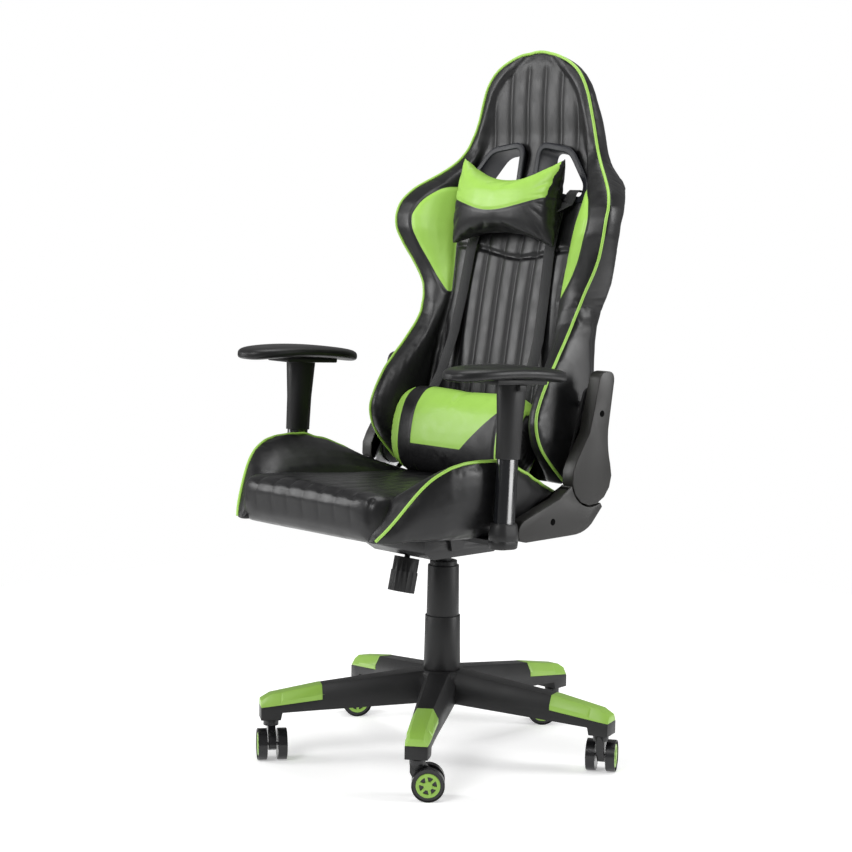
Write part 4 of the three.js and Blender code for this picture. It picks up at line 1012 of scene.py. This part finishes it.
for side, way in sideNames:
    makeArmPad(side, way)
    for nodeName, width, material, slotName, body in (
            ("arm_post", 1.2, glossBlack, "gloss_black", "seat"),
            ("arm_sleeve", 1.6, blackNylon, "black_plastic", f"arm_{side}"),
            ("arm_button", 1.5, blackNylon, "black_plastic", f"button_{side}"),
            ("hinge_cover_upper", 3.2, coverPlastic, "cover_plastic", "back"),
            ("hinge_cover_lower", 3.2, coverPlastic, "cover_plastic", "seat")):
        name = f"{nodeName}_{side}"
        dress(refinedCopy(name, width, 3), material, body, (name,))
print("armrests ready")


# boots at the foot of the posts
def makeBoot(side, way):
    low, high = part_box(f"arm_post_{side}")
    settings = {"wide": 36, "long": 51, "height": 43, "neck": 3}
    middle = Vector(((low.x + high.x) / 2, 0, 0))
    foot = seatLocal(Vector((middle.x, (low.y + high.y) / 2, low.z)))
    rings = []
    for step, grow in ((0, -4), (1, -1.5), (3, 0), (12, 0.6), (14, -0.2), (15.5, 0.8), (26, 0.2),
                       (36, -1.2), (41, -2.6), (43, -4.4)):
        ring = []
        for k in range(40):
            turn = 2 * math.pi * k / 40
            radius = settings["wide"] / 2 + grow + 0.6
            spread = settings["long"] / 2 - settings["wide"] / 2
            x = radius * math.cos(turn)
            y = radius * math.sin(turn) + math.copysign(spread, math.sin(turn))
            ring.append(seatPlace(way * 265 + x, -122 + y, -12.6 + step))
        rings.append(ring)
    piece = loftPiece(f"arm_boot_{side}", rings)
    smoothShade(piece, 40)
    return dress(piece, blackNylon, "seat")


for side, way in sideNames:
    makeBoot(side, way)


# painted shade: near-black discs standing in for the dark screw holes in the hinge covers
def makeHoleShadeDisc(name, place, way, body):
    settings = {"radius": 5.6, "depth": 8}
    bpy.ops.object.select_all(action="DESELECT")
    bpy.ops.mesh.primitive_cylinder_add(vertices=32, radius=settings["radius"] * mm,
                                        depth=settings["depth"] * mm,
                                        location=place, rotation=(0, way * math.pi / 2, 0))
    piece = bpy.context.active_object
    piece.name = name
    bpy.ops.object.transform_apply(location=True, rotation=True, scale=True)
    applyModifier(piece, "BEVEL", "eased", width=0.3 * mm, segments=2, limit_method="ANGLE",
                  angle_limit=math.radians(40))
    smoothShade(piece, 35)
    return dress(piece, holeShadeBlack, body)


coverFace = {"outer": 266.0}
for side, way in sideNames:
    upper = backPlace(way * (coverFace["outer"] - 3.6), 2, 108)
    lower = seatPlace(way * (coverFace["outer"] - 3.6), -6.5, 26.5)
    makeHoleShadeDisc(f"cover_hole_shade_upper_{side}", upper, way, "back")
    makeHoleShadeDisc(f"cover_hole_shade_lower_{side}", lower, way, "seat")


# casters
def makeWheelMeshes():
    settings = {"radius": 27.5, "width": 16, "shoulder": 5.5, "recess": 20.6, "recessDepth": 3.4,
                "spokes": 6}
    bpy.ops.object.select_all(action="DESELECT")
    bpy.ops.mesh.primitive_cylinder_add(vertices=64, radius=settings["radius"] * mm,
                                        depth=settings["width"] * mm,
                                        location=(0, 0, settings["width"] * mm / 2))
    tyre = bpy.context.active_object
    bpy.ops.object.transform_apply(location=True, rotation=True, scale=True)
    bpy.ops.object.mode_set(mode="EDIT")
    bpy.ops.mesh.select_all(action="DESELECT")
    bpy.ops.object.mode_set(mode="OBJECT")
    for face in tyre.data.polygons:
        face.select = abs(face.normal.z) > 0.9
    bpy.ops.object.mode_set(mode="EDIT")
    bpy.ops.mesh.region_to_loop()
    bpy.ops.mesh.bevel(offset=settings["shoulder"] * mm, segments=5, affect="EDGES")
    bpy.ops.mesh.select_all(action="DESELECT")
    bpy.ops.object.mode_set(mode="OBJECT")
    for face in tyre.data.polygons:
        face.select = face.normal.z > 0.99 and face.center.z > 0.9 * settings["width"] * mm
    bpy.ops.object.mode_set(mode="EDIT")
    inner = settings["radius"] - settings["shoulder"] - settings["recess"]
    bpy.ops.mesh.inset(thickness=max(inner, 0.4) * mm, depth=0)
    bpy.ops.mesh.inset(thickness=0.5 * mm, depth=-settings["recessDepth"] * mm)
    bpy.ops.object.mode_set(mode="OBJECT")
    smoothShade(tyre, 35)
    depth = (settings["width"] - settings["recessDepth"]) * mm
    bpy.ops.object.select_all(action="DESELECT")
    bpy.ops.mesh.primitive_circle_add(vertices=60, radius=20.2 * mm, location=(0, 0, depth),
                                      fill_type="NOTHING")
    ring = bpy.context.active_object
    bpy.ops.object.mode_set(mode="EDIT")
    bpy.ops.mesh.extrude_region_move()
    bpy.ops.transform.resize(value=(0.72, 0.72, 1))
    bpy.ops.mesh.select_all(action="SELECT")
    bpy.ops.mesh.normals_make_consistent(inside=False)
    bpy.ops.object.mode_set(mode="OBJECT")
    bpy.ops.object.transform_apply(location=True, rotation=True, scale=True)
    applyModifier(ring, "SOLIDIFY", "thickness", thickness=4.8 * mm, offset=0)
    parts = [ring]
    bpy.ops.mesh.primitive_cylinder_add(vertices=36, radius=7.4 * mm, depth=3.6 * mm,
                                        location=(0, 0, depth + 1.6 * mm))
    parts.append(bpy.context.active_object)
    for i in range(settings["spokes"]):
        turn = 2 * math.pi * (i + 0.5) / settings["spokes"]
        bpy.ops.mesh.primitive_cube_add(size=1, location=(11.2 * mm * math.cos(turn),
                                                          11.2 * mm * math.sin(turn),
                                                          depth + 1.2 * mm),
                                        rotation=(0, 0, turn), scale=(11.4 * mm, 4.6 * mm, 2.6 * mm))
        parts.append(bpy.context.active_object)
    bpy.ops.object.select_all(action="DESELECT")
    for part in parts:
        part.select_set(True)
    bpy.context.view_layer.objects.active = ring
    bpy.ops.object.transform_apply(location=True, rotation=True, scale=True)
    bpy.ops.object.join()
    faceOutwards(ring)
    applyModifier(ring, "BEVEL", "eased", width=0.5 * mm, segments=2, limit_method="ANGLE",
                  angle_limit=math.radians(40))
    smoothShade(ring, 35)
    return tyre, ring


tyreModel, hubModel = makeWheelMeshes()
casterSettings = {"inner": 9.3}
for number in range(1, 6):
    for side, way in sideNames:
        joint = jointNamed[f"caster_{number}_{side}_spin"]
        axis = Vector(joint["axis"]).normalized() * way
        start = Vector(joint["pos_m"]) + axis * casterSettings["inner"] * mm
        turn = Vector((0, 0, 1)).rotation_difference(axis).to_matrix().to_4x4()
        for model, label, material, slotName in (
                (tyreModel, "tyre", casterNylon, "caster_black"),
                (hubModel, "hub", greenPlastic, "green_plastic")):
            mesh = model.data.copy()
            mesh.transform(Matrix.Translation(start) @ turn)
            piece = bpy.data.objects.new(f"caster_{number}_{label}_{side}", mesh)
            bpy.context.scene.collection.objects.link(piece)
            dress(piece, material, f"caster_{number}_{side}",
                  (f"caster_{number}_wheel_{side}",))
bpy.data.objects.remove(tyreModel)
bpy.data.objects.remove(hubModel)
for number in range(1, 6):
    name = f"caster_{number}_yoke"
    dress(refinedCopy(name, 1.6, 3, 30), casterNylon, f"caster_{number}", (name,))
    name = f"base_cap_{number}"
    dress(refinedCopy(name, 1.1, 2, 25), greenPlastic, "base", (name,))
print("casters ready")

# base, column and mechanism
for name, width, material, slotName, body in (
        ("base_star", 2.2, blackNylon, "black_plastic", "base"),
        ("cover_lower", 0.5, blackNylon, "black_plastic", "base"),
        ("cover_upper", 0.8, blackNylon, "black_plastic", "upper_cover"),
        ("tension_knob", 0.7, blackNylon, "black_plastic", "knob"),
        ("lift_lever", 1.2, blackNylon, "black_plastic", "height_lever"),
        ("recline_lever", 1.5, blackNylon, "black_plastic", "recline_handle"),
        ("mechanism_housing", 1.5, powderCoat, "black_steel", "mechanism")):
    dress(refinedCopy(name, width, 2), material, body, (name,))
print("base ready")

# CAD parts that keep their own shape
keptLooks = {"cylinder_tube": powderCoat, "lift_piston": powderCoat, "mechanism_plate": powderCoat,
             "seat_pan": powderCoat, "back_frame": powderCoat}
for side, way in sideNames:
    keptLooks[f"recliner_disc_{side}"] = zincSteel
    keptLooks[f"arm_bracket_{side}"] = powderCoat
for number in range(1, 6):
    keptLooks[f"caster_{number}_axle"] = zincSteel
for name, material in keptLooks.items():
    nodes[name].data.materials.clear()
    nodes[name].data.materials.append(material)

# studio
studio = {"floor": (0.93, 0.93, 0.93), "floorSize": 3.6, "backdrop": 1.0, "air": 0.28,
          "paperGlow": 0.36, "cameraPlace": (2.68795, -2.58366, 0.9965), "lens": 90.42}
bpy.ops.object.select_all(action="DESELECT")
bpy.ops.mesh.primitive_plane_add(size=studio["floorSize"], location=(0, 0, 0))
floor = bpy.context.active_object
floor.name = "floor"
floorLook = bpy.data.materials.new("floorPaper")
floorLook.use_nodes = True
paper = floorLook.node_tree.nodes["Principled BSDF"]
paper.inputs["Base Color"].default_value = (*studio["floor"], 1)
paper.inputs["Roughness"].default_value = 0.9
paper.inputs["Emission Color"].default_value = (1, 1, 1, 1)
paper.inputs["Emission Strength"].default_value = studio["paperGlow"]
floor.data.materials.append(floorLook)

world = bpy.data.worlds.new("studioAir")
bpy.context.scene.world = world
world.use_nodes = True
backdrop = world.node_tree.nodes["Background"]
backdrop.inputs["Color"].default_value = (1, 1, 1, 1)
seen = addNode(world.node_tree, "ShaderNodeLightPath")
strength = addNode(world.node_tree, "ShaderNodeMapRange")
strength.inputs["To Min"].default_value = studio["air"]
strength.inputs["To Max"].default_value = studio["backdrop"]
world.node_tree.links.new(seen.outputs["Is Camera Ray"], strength.inputs["Value"])
world.node_tree.links.new(strength.outputs[0], backdrop.inputs["Strength"])


def addSoftLight(name, place, target, size, power):
    lamp = bpy.data.lights.new(name, "AREA")
    lamp.shape = "RECTANGLE"
    lamp.size, lamp.size_y = size
    lamp.energy = power
    light = bpy.data.objects.new(name, lamp)
    bpy.context.scene.collection.objects.link(light)
    light.location = place
    light.rotation_euler = (Vector(target) - Vector(place)).to_track_quat("-Z", "Y").to_euler()


addSoftLight("keyLight", (0.6, -3.2, 2.6), (0, 0, 0.7), (1.6, 1.6), 60)
addSoftLight("leftLight", (-3.0, -3.0, 1.9), (0, 0, 0.8), (1.8, 2.2), 95)
addSoftLight("rearLight", (3.2, 2.6, 1.5), (0, 0, 0.7), (1.2, 2.2), 90)
addSoftLight("topLight", (0, 0.4, 3.4), (0, 0, 0.6), (2.0, 2.0), 50)

camera = bpy.data.objects.new("camera", bpy.data.cameras.new("camera"))
bpy.context.scene.collection.objects.link(camera)
camera.data.sensor_width = 36
camera.data.lens = studio["lens"]
camera.data.clip_end = 50
sight = {"right": (0.68670262, 0.72678894, 0.01474288), "up": (-0.09084218, 0.06567464, 0.99369741)}
rightWay = Vector(sight["right"])
upWay = Vector(sight["up"])
turn = Matrix((rightWay, upWay, rightWay.cross(upWay))).transposed()
camera.matrix_world = Matrix.Translation(studio["cameraPlace"]) @ turn.to_4x4()
bpy.context.scene.camera = camera
bpy.context.scene.view_settings.view_transform = "Standard"
